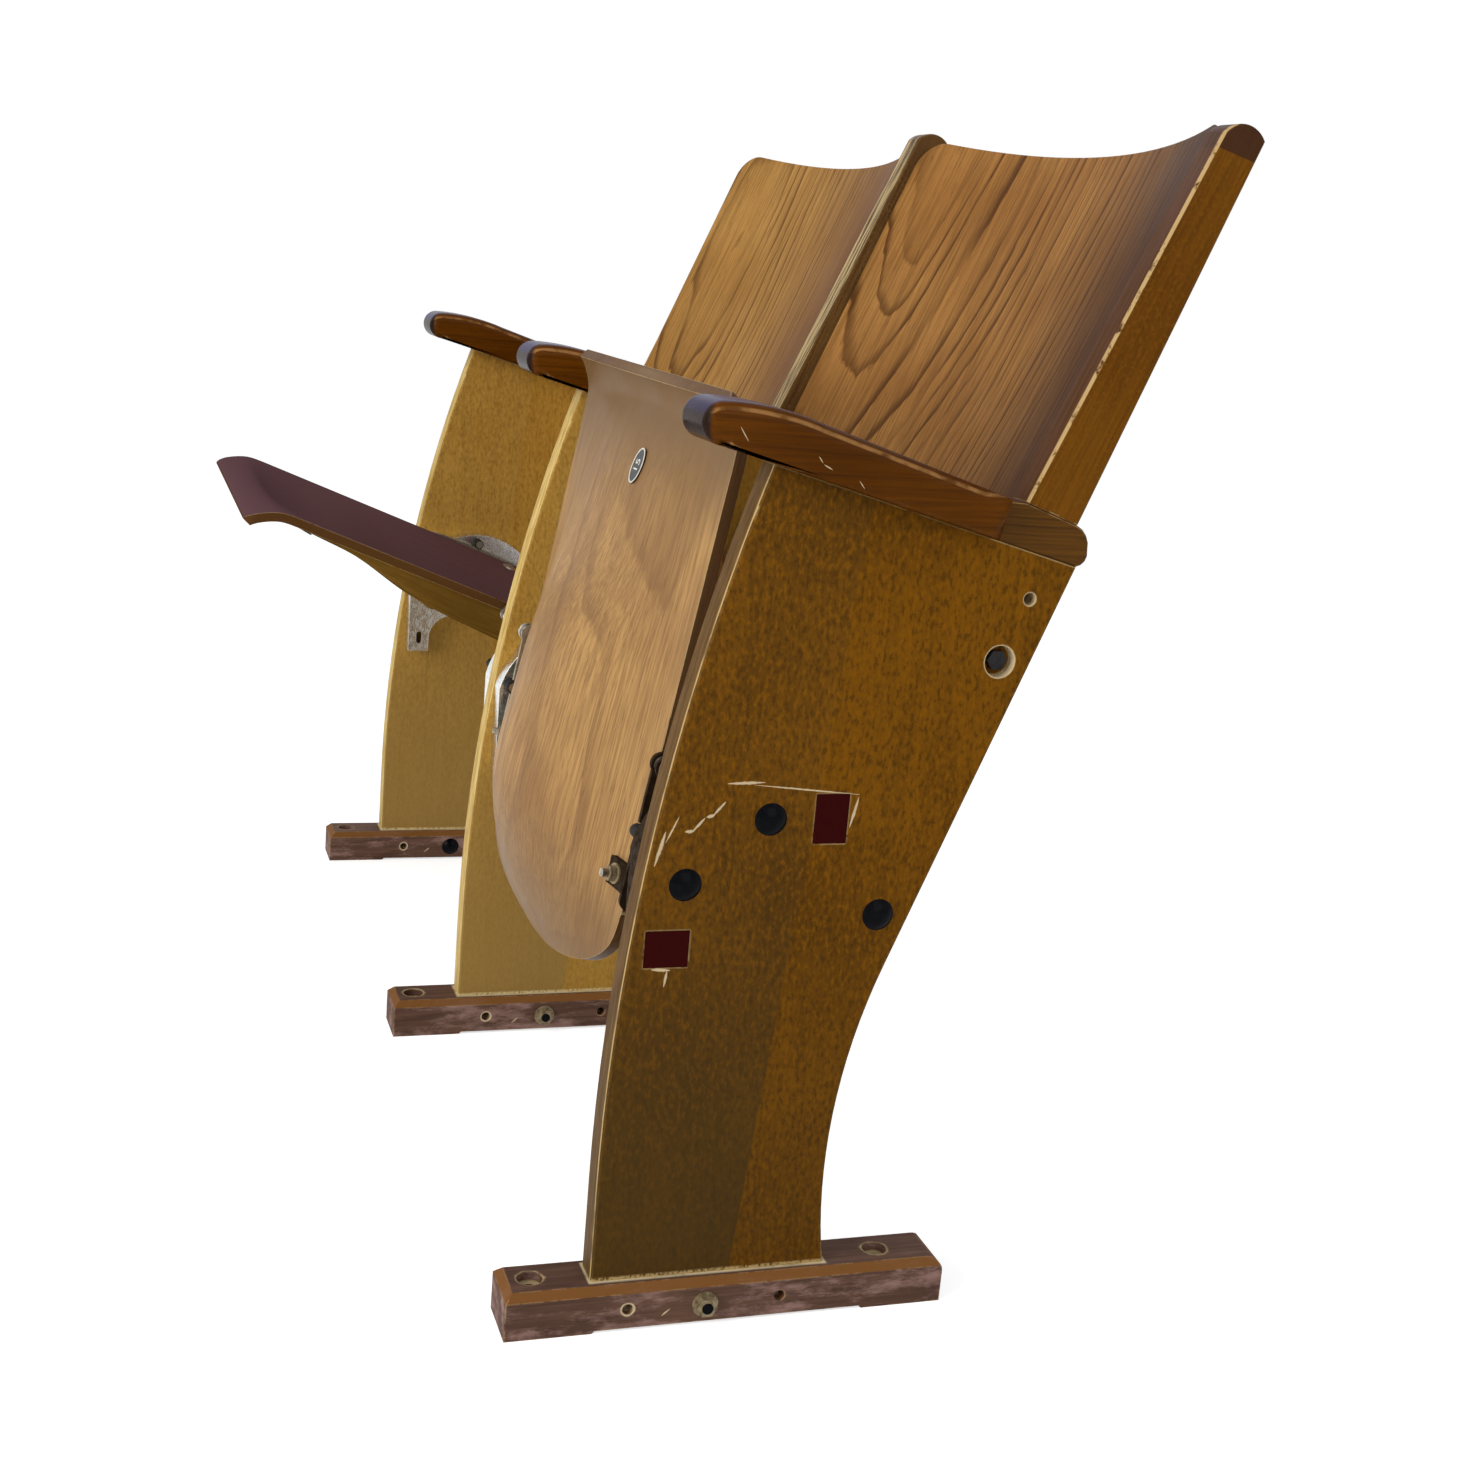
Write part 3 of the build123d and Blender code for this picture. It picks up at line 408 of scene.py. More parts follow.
    @classmethod
    def ring_mark(cls) -> Tree:
        """Pale ring or arc about a centre in the side view.

        Returns:
            The group's tree.
        """
        def wire(net: Net, put: dict[str, Socket]) -> dict[str, Socket]:
            """Distance from the circle, in the YZ plane.

            Args:
                net: Net of the group.
                put: Its inputs.

            Returns:
                Its outputs.
            """
            away = net.stretch(net.vector("SUBTRACT", put["Vector"], put["Centre"]), (0, 1, 1))
            broken = net.minus(net.noise(put["Vector"], 180.0, 3.0), 0.5)
            off = net.off(net.vector("LENGTH", away), put["Radius"])
            off = net.math("MULTIPLY_ADD", broken, net.times(put["Width"], 1.2), off)
            return {"Mask": net.fade(off, net.times(put["Width"], 0.45), put["Width"])}
        ins = {"Vector": ORIGIN, "Centre": ORIGIN, "Radius": 0.01, "Width": 0.001}
        return cls.get("ring_mark", ins, ("Mask",), wire)

    @classmethod
    def stroke_mark(cls) -> Tree:
        """Scratch or nick between two points of the side view, tapered by noise.

        Returns:
            The group's tree.
        """
        def wire(net: Net, put: dict[str, Socket]) -> dict[str, Socket]:
            """Distance from the segment, in the YZ plane.

            Args:
                net: Net of the group.
                put: Its inputs.

            Returns:
                Its outputs.
            """
            flat = (0.0, 1.0, 1.0)
            run = net.stretch(net.vector("SUBTRACT", put["To"], put["From"]), flat)
            here = net.stretch(net.vector("SUBTRACT", put["Vector"], put["From"]), flat)
            share = net.math("DIVIDE", net.vector("DOT_PRODUCT", here, run),
                             net.vector("DOT_PRODUCT", run, run), clamp=True)
            nearest = net.vector("SCALE", run, scale=share)
            off = net.vector("LENGTH", net.vector("SUBTRACT", here, nearest))
            taper = net.times(share, net.minus(1.0, share))
            wide = net.times(put["Width"], net.math("MULTIPLY_ADD", taper, 3.2, 0.2))
            rough = net.times(net.minus(net.noise(put["Vector"], 400.0, 2.0), 0.5), wide)
            return {"Mask": net.fade(net.plus(off, rough), net.times(wide, 0.5), wide)}
        ins = {"Vector": ORIGIN, "From": ORIGIN, "To": (0.0, 0.0, 0.01), "Width": 0.001}
        return cls.get("stroke_mark", ins, ("Mask",), wire)


# ------------------------------------------------------------------ finishes
class Grain(Enum):
    """Direction of the grain in a piece, as the turn that brings it to Z."""

    UP = (0.0, 0.0, 0.0)
    BACKWARD = (math.pi / 2, 0.0, 0.0)


@dataclass(frozen=True)
class RingMark:
    """Ring or arc in the side view, in millimetres from the rail's front end and the floor."""

    centre: tuple[float, float]
    radius: float
    width: float


@dataclass(frozen=True)
class StrokeMark:
    """Nick in the side view, in the same millimetres."""

    start: tuple[float, float]
    end: tuple[float, float]
    width: float


@dataclass(frozen=True)
class Surface:
    """Material being made: its net, shader node, place sockets and, for wood, its figure group."""

    net: Net
    material: Material
    shader: Node
    place: Socket
    normal: Socket
    figure: Optional[Node] = None

    def raise_by(self, height: Socket, strength: float, depth: float,
                 normal: Optional[Socket] = None) -> None:
        """Roughen the shader's normal.

        Args:
            height: Height from 0 to 1.
            strength: Strength of the bump.
            depth: What a height of 1 stands for, in metres.
            normal: Normal that the bump is laid on; None for the plain one.
        """
        bump = self.net.supply(self.net.node("ShaderNodeBump"), Height=height, Strength=strength,
                               Distance=depth, Normal=normal)
        self.net.supply(self.shader, Normal=bump.outputs[0])


def new_surface(name: str) -> Surface:
    """Start a material.

    Args:
        name: Name of the material.

    Returns:
        The surface with its object-space sockets.
    """
    material = bpy.data.materials.new(name)
    net = clear_net(material)
    shader = net.node("ShaderNodeBsdfPrincipled")
    net.supply(net.node("ShaderNodeOutputMaterial"), Surface=shader.outputs[0])
    where = net.node("ShaderNodeTexCoord")
    return Surface(net, material, shader, where.outputs["Object"], where.outputs["Normal"])


@dataclass(frozen=True)
class WoodFinish:
    """Stained and lacquered wood with its grain, wear and marks."""

    ground: Colour
    line: Colour
    pale: Colour
    worn: Colour
    scuffed: Colour = srgb(222, 200, 160)
    grain: Grain = Grain.UP
    turn: float = 0.0
    line_share: float = 0.5
    fibre_share: float = 0.35
    pore_share: float = 0.25
    stretch: float = 0.15
    sway: float = 0.03
    rings: float = 60.0
    fibres: float = 420.0
    wear_cover: float = 0.45
    wear_radius: float = 2.2 * MM
    wear_share: float = 0.85
    scuff_share: float = 0.8
    roughness: float = 0.45
    gloss: float = 0.25
    coat: float = 0.0
    relief: float = 0.25

    def build(self, name: str, pith: Vector, seed: float = 0.0,
              marks: Sequence[RingMark | StrokeMark] = ()) -> Material:
        """Make the material for one piece.

        Args:
            name: Name of the material.
            pith: Middle of the growth rings in the turned frame of the grain.
            seed: Shifts the grain from piece to piece.
            marks: Pale marks in the side view.

        Returns:
            The material.
        """
        on = new_surface(name)
        net = on.net
        turned = net.supply(net.node("ShaderNodeMapping", vector_type="POINT"), Vector=on.place,
                            Rotation=(self.grain.value[0] + self.turn, 0.0, 0.0))
        figure = net.place(Effects.figure(), Vector=turned.outputs[0], Pith=tuple(pith),
                           Stretch=self.stretch, Sway=self.sway, Rings=self.rings,
                           Fibres=self.fibres, Seed=seed)
        on = replace(on, figure=figure)
        colour = self.stain(on)
        edge = self.edge_share(on)
        if edge is not None:
            colour = net.mix(edge, colour, self.edge_colour(on))
        worn = net.place(Effects.wear(), Vector=on.place, Radius=self.wear_radius, Cover=self.wear_cover)
        colour = net.mix(net.times(worn.outputs["Mask"], self.wear_share), colour, self.worn)
        scuffs = self.marks_share(on, marks)
        if scuffs is not None:
            colour = net.mix(net.times(scuffs, self.scuff_share), colour, self.scuffed)
        dull = net.noise(on.place, 24.0, 4.0, 0.6)
        rough = net.math("MULTIPLY_ADD", dull, 0.22, self.roughness - 0.08)
        rough = net.math("MULTIPLY_ADD", worn.outputs["Mask"], 0.15, rough, clamp=True)
        net.supply(on.shader, Base_Color=colour, Roughness=rough, Specular_IOR_Level=self.gloss,
                   Coat_Weight=self.coat, Coat_Roughness=0.12)
        fibres = net.times(figure.outputs["Fibre"], 0.7)
        height = net.math("MULTIPLY_ADD", figure.outputs["Line"], 0.5, fibres)
        on.raise_by(height, self.relief, 0.4 * MM, worn.outputs["Normal"])
        return on.material

    def stain(self, on: Surface) -> Socket:
        """Colour of the stained face: ground, growth lines, fibres, pores and slow blotches.

        Args:
            on: Surface of the material.

        Returns:
            Colour of the face.
        """
        net = on.net
        blotch = net.noise(on.place, 7.0, 3.0, 0.5)
        tone = net.math("MULTIPLY_ADD", on.figure.outputs["Tone"], 0.5, net.times(blotch, 0.5))
        colour = net.mix(net.ease(tone, 0.32, 0.7), self.ground, self.pale)
        lined = net.times(on.figure.outputs["Line"], self.line_share)
        colour = net.mix(lined, colour, self.line)
        fibre = net.times(net.ease(on.figure.outputs["Fibre"], 0.36, 0.64), self.fibre_share)
        colour = net.mix(fibre, colour, self.line)
        pores = net.times(on.figure.outputs["Pore"], self.pore_share)
        return net.mix(pores, colour, tuple(c * 0.45 for c in self.line[:3]) + (1.0,))

    def edge_share(self, on: Surface) -> Optional[Socket]:
        """Share of the edge colour; a plain wood has none."""
        return None

    def edge_colour(self, on: Surface) -> Socket:
        """Colour of the edges."""
        return on.net.mix(on.net.ease(on.figure.outputs["Fibre"], 0.3, 0.7), self.worn, self.pale)

    def marks_share(self, on: Surface, marks: Sequence[RingMark | StrokeMark]) -> Optional[Socket]:
        """Add up the marks of a piece.

        Args:
            on: Surface of the material.
            marks: The marks.

        Returns:
            The mask, or None where there are no marks.
        """
        net = on.net
        total: Optional[Socket] = None
        for mark in marks:
            if isinstance(mark, RingMark):
                group = net.place(Effects.ring_mark(), Vector=on.place, Centre=side_point(*mark.centre),
                                  Radius=mark.radius * MM, Width=mark.width * MM)
            else:
                group = net.place(Effects.stroke_mark(), Vector=on.place, From=side_point(*mark.start),
                                  To=side_point(*mark.end), Width=mark.width * MM)
            share = group.outputs["Mask"]
            total = share if total is None else net.larger(total, share)
        return total


@dataclass(frozen=True)
class BoardFinish(WoodFinish):
    """Wide boards glued from staves, flecked on the faces, with rubbed edges and a bright arris that is
    partly wear and partly painted highlight.
    """

    olive: Colour = (0.06, 0.035, 0.01, 1.0)
    edge: Colour = (0.1, 0.07, 0.03, 1.0)
    edge_pale: Colour = (0.2, 0.15, 0.08, 1.0)
    # where the bright arris lies: partly wear, partly painted highlight
    bright_x: float = OUTER_FACE_X
    bright_reach: tuple[float, float] = (1.6 * MM, 3.6 * MM)
    fleck_share: float = 0.6
    stave: float = 62 * MM
    lean: float = 0.096
    joint_at: float = 159.4 * MM - FRONT_OFFSET
    dust_z: tuple[float, float] = (34.8 * MM, 37.5 * MM)

    def stain(self, on: Surface) -> Socket:
        """Ground with flecks and one tone for each stave.

        Args:
            on: Surface of the material.

        Returns:
            Colour of the face.
        """
        net = on.net
        base = super().stain(on)
        _, y, z = net.split(on.place)
        along = net.math("MULTIPLY_ADD", z, -self.lean, y)
        number = net.math("FLOOR", net.math("DIVIDE", net.minus(along, self.joint_at), self.stave))
        tone = net.supply(net.node("ShaderNodeTexWhiteNoise", noise_dimensions="1D"), W=number)
        base = net.mix(net.times(tone.outputs["Value"], 0.3), base, self.line)
        before = net.fade(net.minus(along, self.joint_at), -0.0008, 0.0004)
        base = net.mix(net.times(before, 0.3), base, self.olive)
        fleck = net.noise(net.stretch(on.place, (1.0, 1.0, 0.55)), 330.0, 3.0, 0.65)
        base = net.mix(net.ease(fleck, 0.52, 0.64, 0.0, self.fleck_share), base, self.pale)
        base = net.mix(net.fade(fleck, 0.36, 0.48, self.fleck_share), base, self.line)
        low = net.times(net.fade(z, 0.05, 0.42, 0.75), net.math("MULTIPLY_ADD", before, 0.65, 0.35))
        base = net.mix(low, base, self.olive)
        grit = net.noise(on.place, 420.0, 3.0, 0.6)
        dust = net.times(net.fade(z, *self.dust_z), net.ease(grit, 0.35, 0.55))
        return net.mix(net.times(dust, 0.85), base, self.worn)

    def edge_share(self, on: Surface) -> Optional[Socket]:
        """The narrow faces, whose normal is square to X."""
        across = on.net.off(on.net.split(on.normal)[0])
        return on.net.fade(across, 0.35, 0.6, 0.85)

    def edge_colour(self, on: Surface) -> Socket:
        """Rubbed edge between the tone of the face and the paler rubbed wood, bright along one arris that
        is partly wear and partly painted highlight.

        Args:
            on: Surface of the material.

        Returns:
            Colour of the edges.
        """
        net = on.net
        rubbed = net.noise(net.stretch(on.place, (3.0, 1.0, 0.3)), 90.0, 4.0, 0.6)
        base = net.mix(net.ease(rubbed, 0.3, 0.7), self.edge, self.edge_pale)
        # bright line along the outer front arris: partly wear, partly painted highlight
        off = net.off(net.split(on.place)[0], self.bright_x)
        worn_and_highlit_arris = net.times(net.fade(off, *self.bright_reach, 0.9), net.ease(rubbed, 0.34, 0.5, 0.3, 1.0))
        return net.mix(worn_and_highlit_arris, base, self.worn)


@dataclass(frozen=True)
class ArmFinish(WoodFinish):
    """Glossy armrest with a pale upper arris (partly wear, partly painted highlight), a painted dark
    reflection on the nose's front and a painted violet sheen on top.
    """

    # painted violet sheen on the upward faces at grazing angles, strongest near the nose (nose_y)
    sheen: Colour = (0.02, 0.015, 0.12, 1.0)
    # nose: painted dark reflection on the faces turned to the front
    nose: Colour = (0.01, 0.006, 0.005, 1.0)
    nose_y: tuple[float, float] = (112 * MM - FRONT_OFFSET, 150 * MM - FRONT_OFFSET)

    def stain(self, on: Surface) -> Socket:
        """Pale line on the arris (partly wear, partly painted highlight), painted dark reflection on the
        front, painted violet sheen on the upward side at grazing angles.

        Args:
            on: Surface of the material.

        Returns:
            Colour of the face.
        """
        net = on.net
        base = super().stain(on)
        _, along, up = net.split(on.normal)
        # pale line on the upper arris, chosen by facing: partly wear, partly painted highlight
        rubbed = net.times(net.ease(up, 0.3, 0.42), net.fade(up, 0.55, 0.7))
        rubbed = net.times(rubbed, net.ease(net.noise(on.place, 60.0, 4.0, 0.6), 0.35, 0.6, 0.1, 0.6))
        base = net.mix(rubbed, base, self.worn)
        # painted dark reflection on the faces turned to the front
        base = net.mix(net.fade(along, -0.75, -0.4, 0.9), base, self.nose)
        # painted violet sheen: facing mask times upward faces, stronger near the nose
        away = net.node("ShaderNodeLayerWeight").outputs["Facing"]
        share = net.times(net.ease(away, 0.5, 0.85), net.ease(up, 0.2, 0.5))
        near = net.ease(net.split(on.place)[1], *self.nose_y, 0.9, 0.3)
        return net.mix(net.times(share, near), base, self.sheen)


@dataclass(frozen=True)
class CurvedPlyFinish(WoodFinish):
    """Curved plywood back with a dark varnished edge and painted shade towards its near side."""

    rake: float = 0.0
    # painted shade towards the near edge of the panel; the edge colour reuses it
    shade: Colour = (0.07, 0.03, 0.02, 1.0)
    shade_share: float = 0.7
    shade_x: tuple[float, float] = (0.25, 0.5)

    def stain(self, on: Surface) -> Socket:
        """Painted shade: redder and darker towards the near edge of the panel.

        Args:
            on: Surface of the material.

        Returns:
            Colour of the face.
        """
        net = on.net
        base = super().stain(on)
        # painted shade, growing towards the near edge
        across = net.ease(net.split(on.place)[0], *self.shade_x, 0.0, self.shade_share)
        return net.mix(across, base, self.shade)

    def edge_share(self, on: Surface) -> Optional[Socket]:
        """Faces turned away from the front and the rear of the panel.

        Args:
            on: Surface of the material.

        Returns:
            Mask of the edges.
        """
        net = on.net
        front = (0.0, math.cos(self.rake), -math.sin(self.rake))
        facing = net.off(net.vector("DOT_PRODUCT", on.normal, front))
        return net.fade(facing, 0.3, 0.6, 0.9)

    def edge_colour(self, on: Surface) -> Socket:
        """Dark varnished edge with faint plies, tinted with the colour of the painted shade."""
        return on.net.mix(on.net.ease(on.figure.outputs["Fibre"], 0.3, 0.7), self.shade, self.line)


@dataclass(frozen=True)
class SeatPlyFinish(WoodFinish):
    """Moulded plywood seat: tan underside with painted shade towards both ends, darker sitting side that is
    partly a painted purple sheen, dark edges.
    """

    slope: float = 0.0
    # sitting side: darker stain, partly a painted purple sheen
    sitting: Colour = (0.1, 0.06, 0.05, 1.0)
    # painted shade towards the lip and the rear of the underside
    shade: Colour = (0.1, 0.06, 0.03, 1.0)
    edge: Colour = (0.1, 0.05, 0.02, 1.0)
    pivot: tuple[float, float] = (102 * MM - FRONT_OFFSET, 392 * MM)
    lip_ahead: tuple[float, float] = (0.12, 0.23)
    rear_ahead: tuple[float, float] = (-0.17, -0.06)
    tip_ahead: tuple[float, float] = (0.238, 0.244)

    def local(self, net: Net, vector: Socket) -> Socket:
        """Turn a row-frame vector into the seat's own frame.

        Args:
            net: Net of the material.
            vector: Vector socket in the row frame.

        Returns:
            Vector socket: X across, Y to the front edge, Z to the sitting side.
        """
        ahead = (0.0, -math.cos(self.slope), math.sin(self.slope))
        above = (0.0, math.sin(self.slope), math.cos(self.slope))
        return net.join(net.times(net.split(vector)[0], -1.0), net.vector("DOT_PRODUCT", vector, ahead),
                        net.vector("DOT_PRODUCT", vector, above))

    def stain(self, on: Surface) -> Socket:
        """Underside with painted shade towards the lip and the rear; sitting side darker and redder, partly
        a painted purple sheen.

        Args:
            on: Surface of the material.

        Returns:
            Colour of the face.
        """
        net = on.net
        base = super().stain(on)
        away = net.vector("SUBTRACT", on.place, (0.0, *self.pivot))
        _, ahead, _ = net.split(self.local(net, away))
        # painted shade towards the lip and the rear
        base = net.mix(net.ease(ahead, *self.lip_ahead), base, self.shade)
        base = net.mix(net.fade(ahead, *self.rear_ahead, 0.8), base, self.shade)
        cloud = net.noise(net.stretch(on.place, (1.0, 0.5, 0.5)), 14.0, 4.0, 0.6)
        base = net.mix(net.ease(cloud, 0.42, 0.66, 0.0, 0.4), base, self.line)
        _, _, up = net.split(self.local(net, on.normal))
        # sitting side: darker stain, partly a painted purple sheen
        return net.mix(net.ease(up, 0.1, 0.4, 0.0, 0.88), base, self.sitting)

    def edge_colour(self, on: Surface) -> Socket:
        """Dark edge with faint plies."""
        return on.net.mix(on.net.ease(on.figure.outputs["Fibre"], 0.4, 0.7, 0.0, 0.4), self.edge, self.line)

    def edge_share(self, on: Surface) -> Optional[Socket]:
        """Side edges, rear edge and the tip of the front lip.

        Args:
            on: Surface of the material.

        Returns:
            Mask of the edges.
        """
        net = on.net
        across, ahead, up = net.split(self.local(net, on.normal))
        side = net.ease(net.off(across), 0.72, 0.86)
        flat = net.fade(net.off(up), 0.3, 0.5)
        away = net.vector("SUBTRACT", on.place, (0.0, *self.pivot))
        _, reach, _ = net.split(self.local(net, away))
        tip = net.ease(net.minus(net.times(ahead, 0.63), net.times(up, 0.78)), 0.85, 0.95)
        tip = net.times(tip, net.ease(reach, *self.tip_ahead))
        return net.times(net.larger(side, net.larger(flat, tip)), 0.9)


@dataclass(frozen=True)
class RailFinish(WoodFinish):
    """Worn foot rail: scuffed flanks, orange-brown chamfers, filled screw holes, dust by the board."""

    chamfer: Colour = (0.2, 0.1, 0.04, 1.0)
    smeared: Colour = srgb(176, 140, 130)
    putty: Colour = srgb(206, 186, 140)
    dust: Colour = srgb(222, 206, 168)
    middle_x: float = 0.0
    putty_reach: tuple[float, float] = (8.5 * MM, 11.5 * MM)
    holes_y: tuple[float, float] = (21 * MM - FRONT_OFFSET, 280 * MM - FRONT_OFFSET)
    board_y: tuple[float, float] = (59 * MM - FRONT_OFFSET, 238 * MM - FRONT_OFFSET)

    def stain(self, on: Surface) -> Socket:
        """Flanks scuffed pinkish, bevelled faces rubbed to orange-brown.

        Args:
            on: Surface of the material.

        Returns:
            Colour of the face.
        """
        net = on.net
        base = super().stain(on)
        _, _, up = net.split(on.normal)
        steep = net.times(net.ease(up, 0.3, 0.55), net.fade(up, 0.85, 0.97))
        base = net.mix(net.times(steep, 0.9), base, self.chamfer)
        smear = net.noise(net.stretch(on.place, (1.0, 0.3, 1.0)), 70.0, 5.0, 0.7)
        flank = net.ease(up, 0.1, 0.3, 1.0, 0.15)
        scuff = net.times(net.ease(smear, 0.46, 0.68), net.times(flank, 0.6))
        base = net.mix(scuff, base, self.smeared)
        x, y, _ = net.split(on.place)
        for hole_y in self.holes_y:
            away = net.vector("LENGTH", net.join(net.minus(x, self.middle_x), net.minus(y, hole_y), 0.0))
            grit = net.times(net.minus(smear, 0.5), 0.012)
            filled = net.fade(net.plus(away, grit), *self.putty_reach, 0.75)
            base = net.mix(net.times(filled, net.ease(up, 0.3, 0.9)), base, self.putty)
        off = net.off(x, self.middle_x)
        line = net.fade(off, BOARD_T / 2 + 1 * MM, BOARD_T / 2 + 4.2 * MM, 0.9)
        board = net.times(net.ease(y, self.board_y[0], self.board_y[0] + 2 * MM),
                          net.fade(y, self.board_y[1] - 2 * MM, self.board_y[1]))
        dust = net.times(net.times(line, board), net.ease(up, 0.6, 0.95))
        return net.mix(net.times(dust, net.ease(smear, 0.3, 0.5, 0.4, 1.0)), base, self.dust)


@dataclass(frozen=True)
class PostFinish(WoodFinish):
    """Back post with a dark tip, a streaked front (on the near post a painted shade) and a broken pale line
    along the outer front arris, partly wear and partly painted highlight.
    """

    tip_at: tuple[float, float] = (0.298, 0.826)
    tip_fall: float = 0.256
    tip: Colour = (0.05, 0.02, 0.01, 1.0)
    front: Colour = (0.1, 0.05, 0.03, 1.0)
    front_share: float = 0.85
    bead_x: float = OUTER_FACE_X - 1.6 * MM
    bead_reach: tuple[float, float] = (1.4 * MM, 2.4 * MM)

    def stain(self, on: Surface) -> Socket:
        """Dark end above a line that falls to the rear, streaks in front (painted shade on the near post),
        and a pale line at the outer front arris, partly wear and partly painted highlight.

        Args:
            on: Surface of the material.

        Returns:
            Colour of the face.
        """
        net = on.net
        base = super().stain(on)
        _, y, z = net.split(on.place)
        height = net.minus(net.math("MULTIPLY_ADD", y, self.tip_fall, z),
                           self.tip_at[1] + self.tip_fall * self.tip_at[0])
        fleck = net.noise(on.place, 330.0, 3.0, 0.65)
        base = net.mix(net.ease(fleck, 0.5, 0.64, 0.0, 0.5), base, self.pale)
        base = net.mix(net.ease(height, -0.0004, 0.0004, 0.0, 0.85), base, self.tip)
        # front faces: on the near post a painted shade that carries on the back panel's painted shade
        ahead = net.fade(net.split(on.normal)[1], -0.75, -0.5)
        streak = net.noise(net.stretch(on.place, (1.0, 0.06, 0.03)), 420.0, 3.0, 0.6)
        face = net.mix(net.ease(streak, 0.4, 0.62), self.front, self.line)
        base = net.mix(net.times(ahead, self.front_share), base, face)
        # pale line at the outer front arris: partly wear, partly painted highlight
        bead = net.fade(net.off(net.split(on.place)[0], self.bead_x), *self.bead_reach, 0.9)
        broken = net.ease(net.noise(on.place, 90.0, 4.0, 0.7), 0.36, 0.48)
        bead = net.times(net.times(bead, broken), net.fade(net.split(on.normal)[1], -0.3, -0.1))
        return net.mix(bead, base, self.worn)


@dataclass(frozen=True)
class MetalFinish:
    """Bare or plated metal with tarnish and fine scratches."""

    bright: Colour
    dull: Colour
    roughness: float
    metallic: float = 1.0
    tarnish: float = 0.5
    scratch: float = 0.3
    coat: float = 0.0
    gloss: float = 0.5

    def build(self, name: str) -> Material:
        """Make the material.

        Args:
            name: Name of the material.

        Returns:
            The material.
        """
        on = new_surface(name)
        net = on.net
        cloud = net.noise(on.place, 160.0, 5.0, 0.65)
        fine = net.noise(net.stretch(on.place, (1.0, 1.0, 0.12)), 1600.0, 2.0, 0.5)
        share = net.times(net.ease(cloud, 0.42, 0.66), self.tarnish)
        colour = net.mix(share, self.bright, self.dull)
        rough = net.math("MULTIPLY_ADD", share, 0.35, self.roughness)
        rough = net.math("MULTIPLY_ADD", net.minus(fine, 0.5), self.scratch, rough, clamp=True)
        net.supply(on.shader, Base_Color=colour, Roughness=rough, Metallic=self.metallic,
                   Specular_IOR_Level=self.gloss, Coat_Weight=self.coat, Coat_Roughness=0.08)
        on.raise_by(net.plus(cloud, net.times(fine, 0.4)), 0.15, 0.2 * MM)
        return on.material


@dataclass(frozen=True)
class PaintFinish:
    """Enamel, plastic or rubber with slight mottling and dust."""

    ground: Colour
    dust: Colour
    roughness: float
    dust_share: float = 0.25
    gloss: float = 0.4

    def build(self, name: str) -> Material:
        """Make the material.

        Args:
            name: Name of the material.

        Returns:
            The material.
        """
        on = new_surface(name)
        net = on.net
        cloud = net.noise(on.place, 220.0, 5.0, 0.7)
        share = net.times(net.ease(cloud, 0.45, 0.7), self.dust_share)
        rough = net.math("MULTIPLY_ADD", cloud, 0.25, self.roughness - 0.1)
        net.supply(on.shader, Base_Color=net.mix(share, self.ground, self.dust), Roughness=rough,
                   Specular_IOR_Level=self.gloss)
        on.raise_by(cloud, 0.1, 0.3 * MM)
        return on.material


BACK_LOW, BACK_TOP = (348.0, 609.0), (450.0, 852.0)     # ends of a panel's edge in the side view
BACK_RAKE = math.atan2(BACK_TOP[0] - BACK_LOW[0], BACK_TOP[1] - BACK_LOW[1])
POST_RAKE = 0.39                                        # radians
LOWERED_SLOPE, SEAT_TRAVEL = 20.4, 79.4                 # degrees
SEAT_SLOPE = {"far": math.radians(LOWERED_SLOPE), "near": math.radians(LOWERED_SLOPE + SEAT_TRAVEL)}

STANDARD_WOOD = BoardFinish(
    srgb(104, 64, 4), srgb(66, 42, 6), srgb(134, 84, 6), srgb(214, 184, 126), line_share=0.22,
    fibre_share=0.2, pore_share=0.3, rings=40.0, sway=0.05, roughness=0.55, gloss=0.05, relief=0.3,
    fibres=300.0, wear_cover=0.34, olive=srgb(66, 50, 22), edge=srgb(80, 58, 32),
    edge_pale=srgb(110, 84, 50), wear_radius=0.0026)
# lighter copy of the standard wood for the far and middle standards: the lift is a painted sheen
INNER_WOOD_PAINTED_SHEEN = replace(
    STANDARD_WOOD, ground=srgb(182, 134, 50), line=srgb(136, 96, 32), pale=srgb(204, 156, 68),
    worn=srgb(240, 222, 170), olive=srgb(150, 120, 66), fleck_share=0.45, edge=srgb(186, 150, 76),
    edge_pale=srgb(236, 210, 140))
RAIL_WOOD = RailFinish(
    srgb(92, 66, 54), srgb(48, 32, 26), srgb(116, 86, 70), srgb(196, 160, 112),
    grain=Grain.BACKWARD, line_share=0.3, rings=90.0, roughness=0.6, gloss=0.08,
    chamfer=srgb(126, 82, 38), wear_cover=0.44)
# sheen on both arm finishes is a painted violet reflection
ARM_WOOD = ArmFinish(
    srgb(88, 46, 0), srgb(50, 25, 2), srgb(108, 60, 8), srgb(186, 136, 82), grain=Grain.BACKWARD,
    line_share=0.35, rings=110.0, roughness=0.24, gloss=0.03, coat=0.03, wear_cover=0.48,
    wear_radius=0.003, sheen=srgb(26, 18, 74))
TAIL_WOOD = ArmFinish(
    srgb(84, 52, 10), srgb(42, 24, 6), srgb(104, 66, 16), srgb(190, 150, 100), grain=Grain.BACKWARD,
    line_share=0.6, rings=160.0, roughness=0.35, gloss=0.08, wear_cover=0.55, sheen=srgb(26, 18, 74))
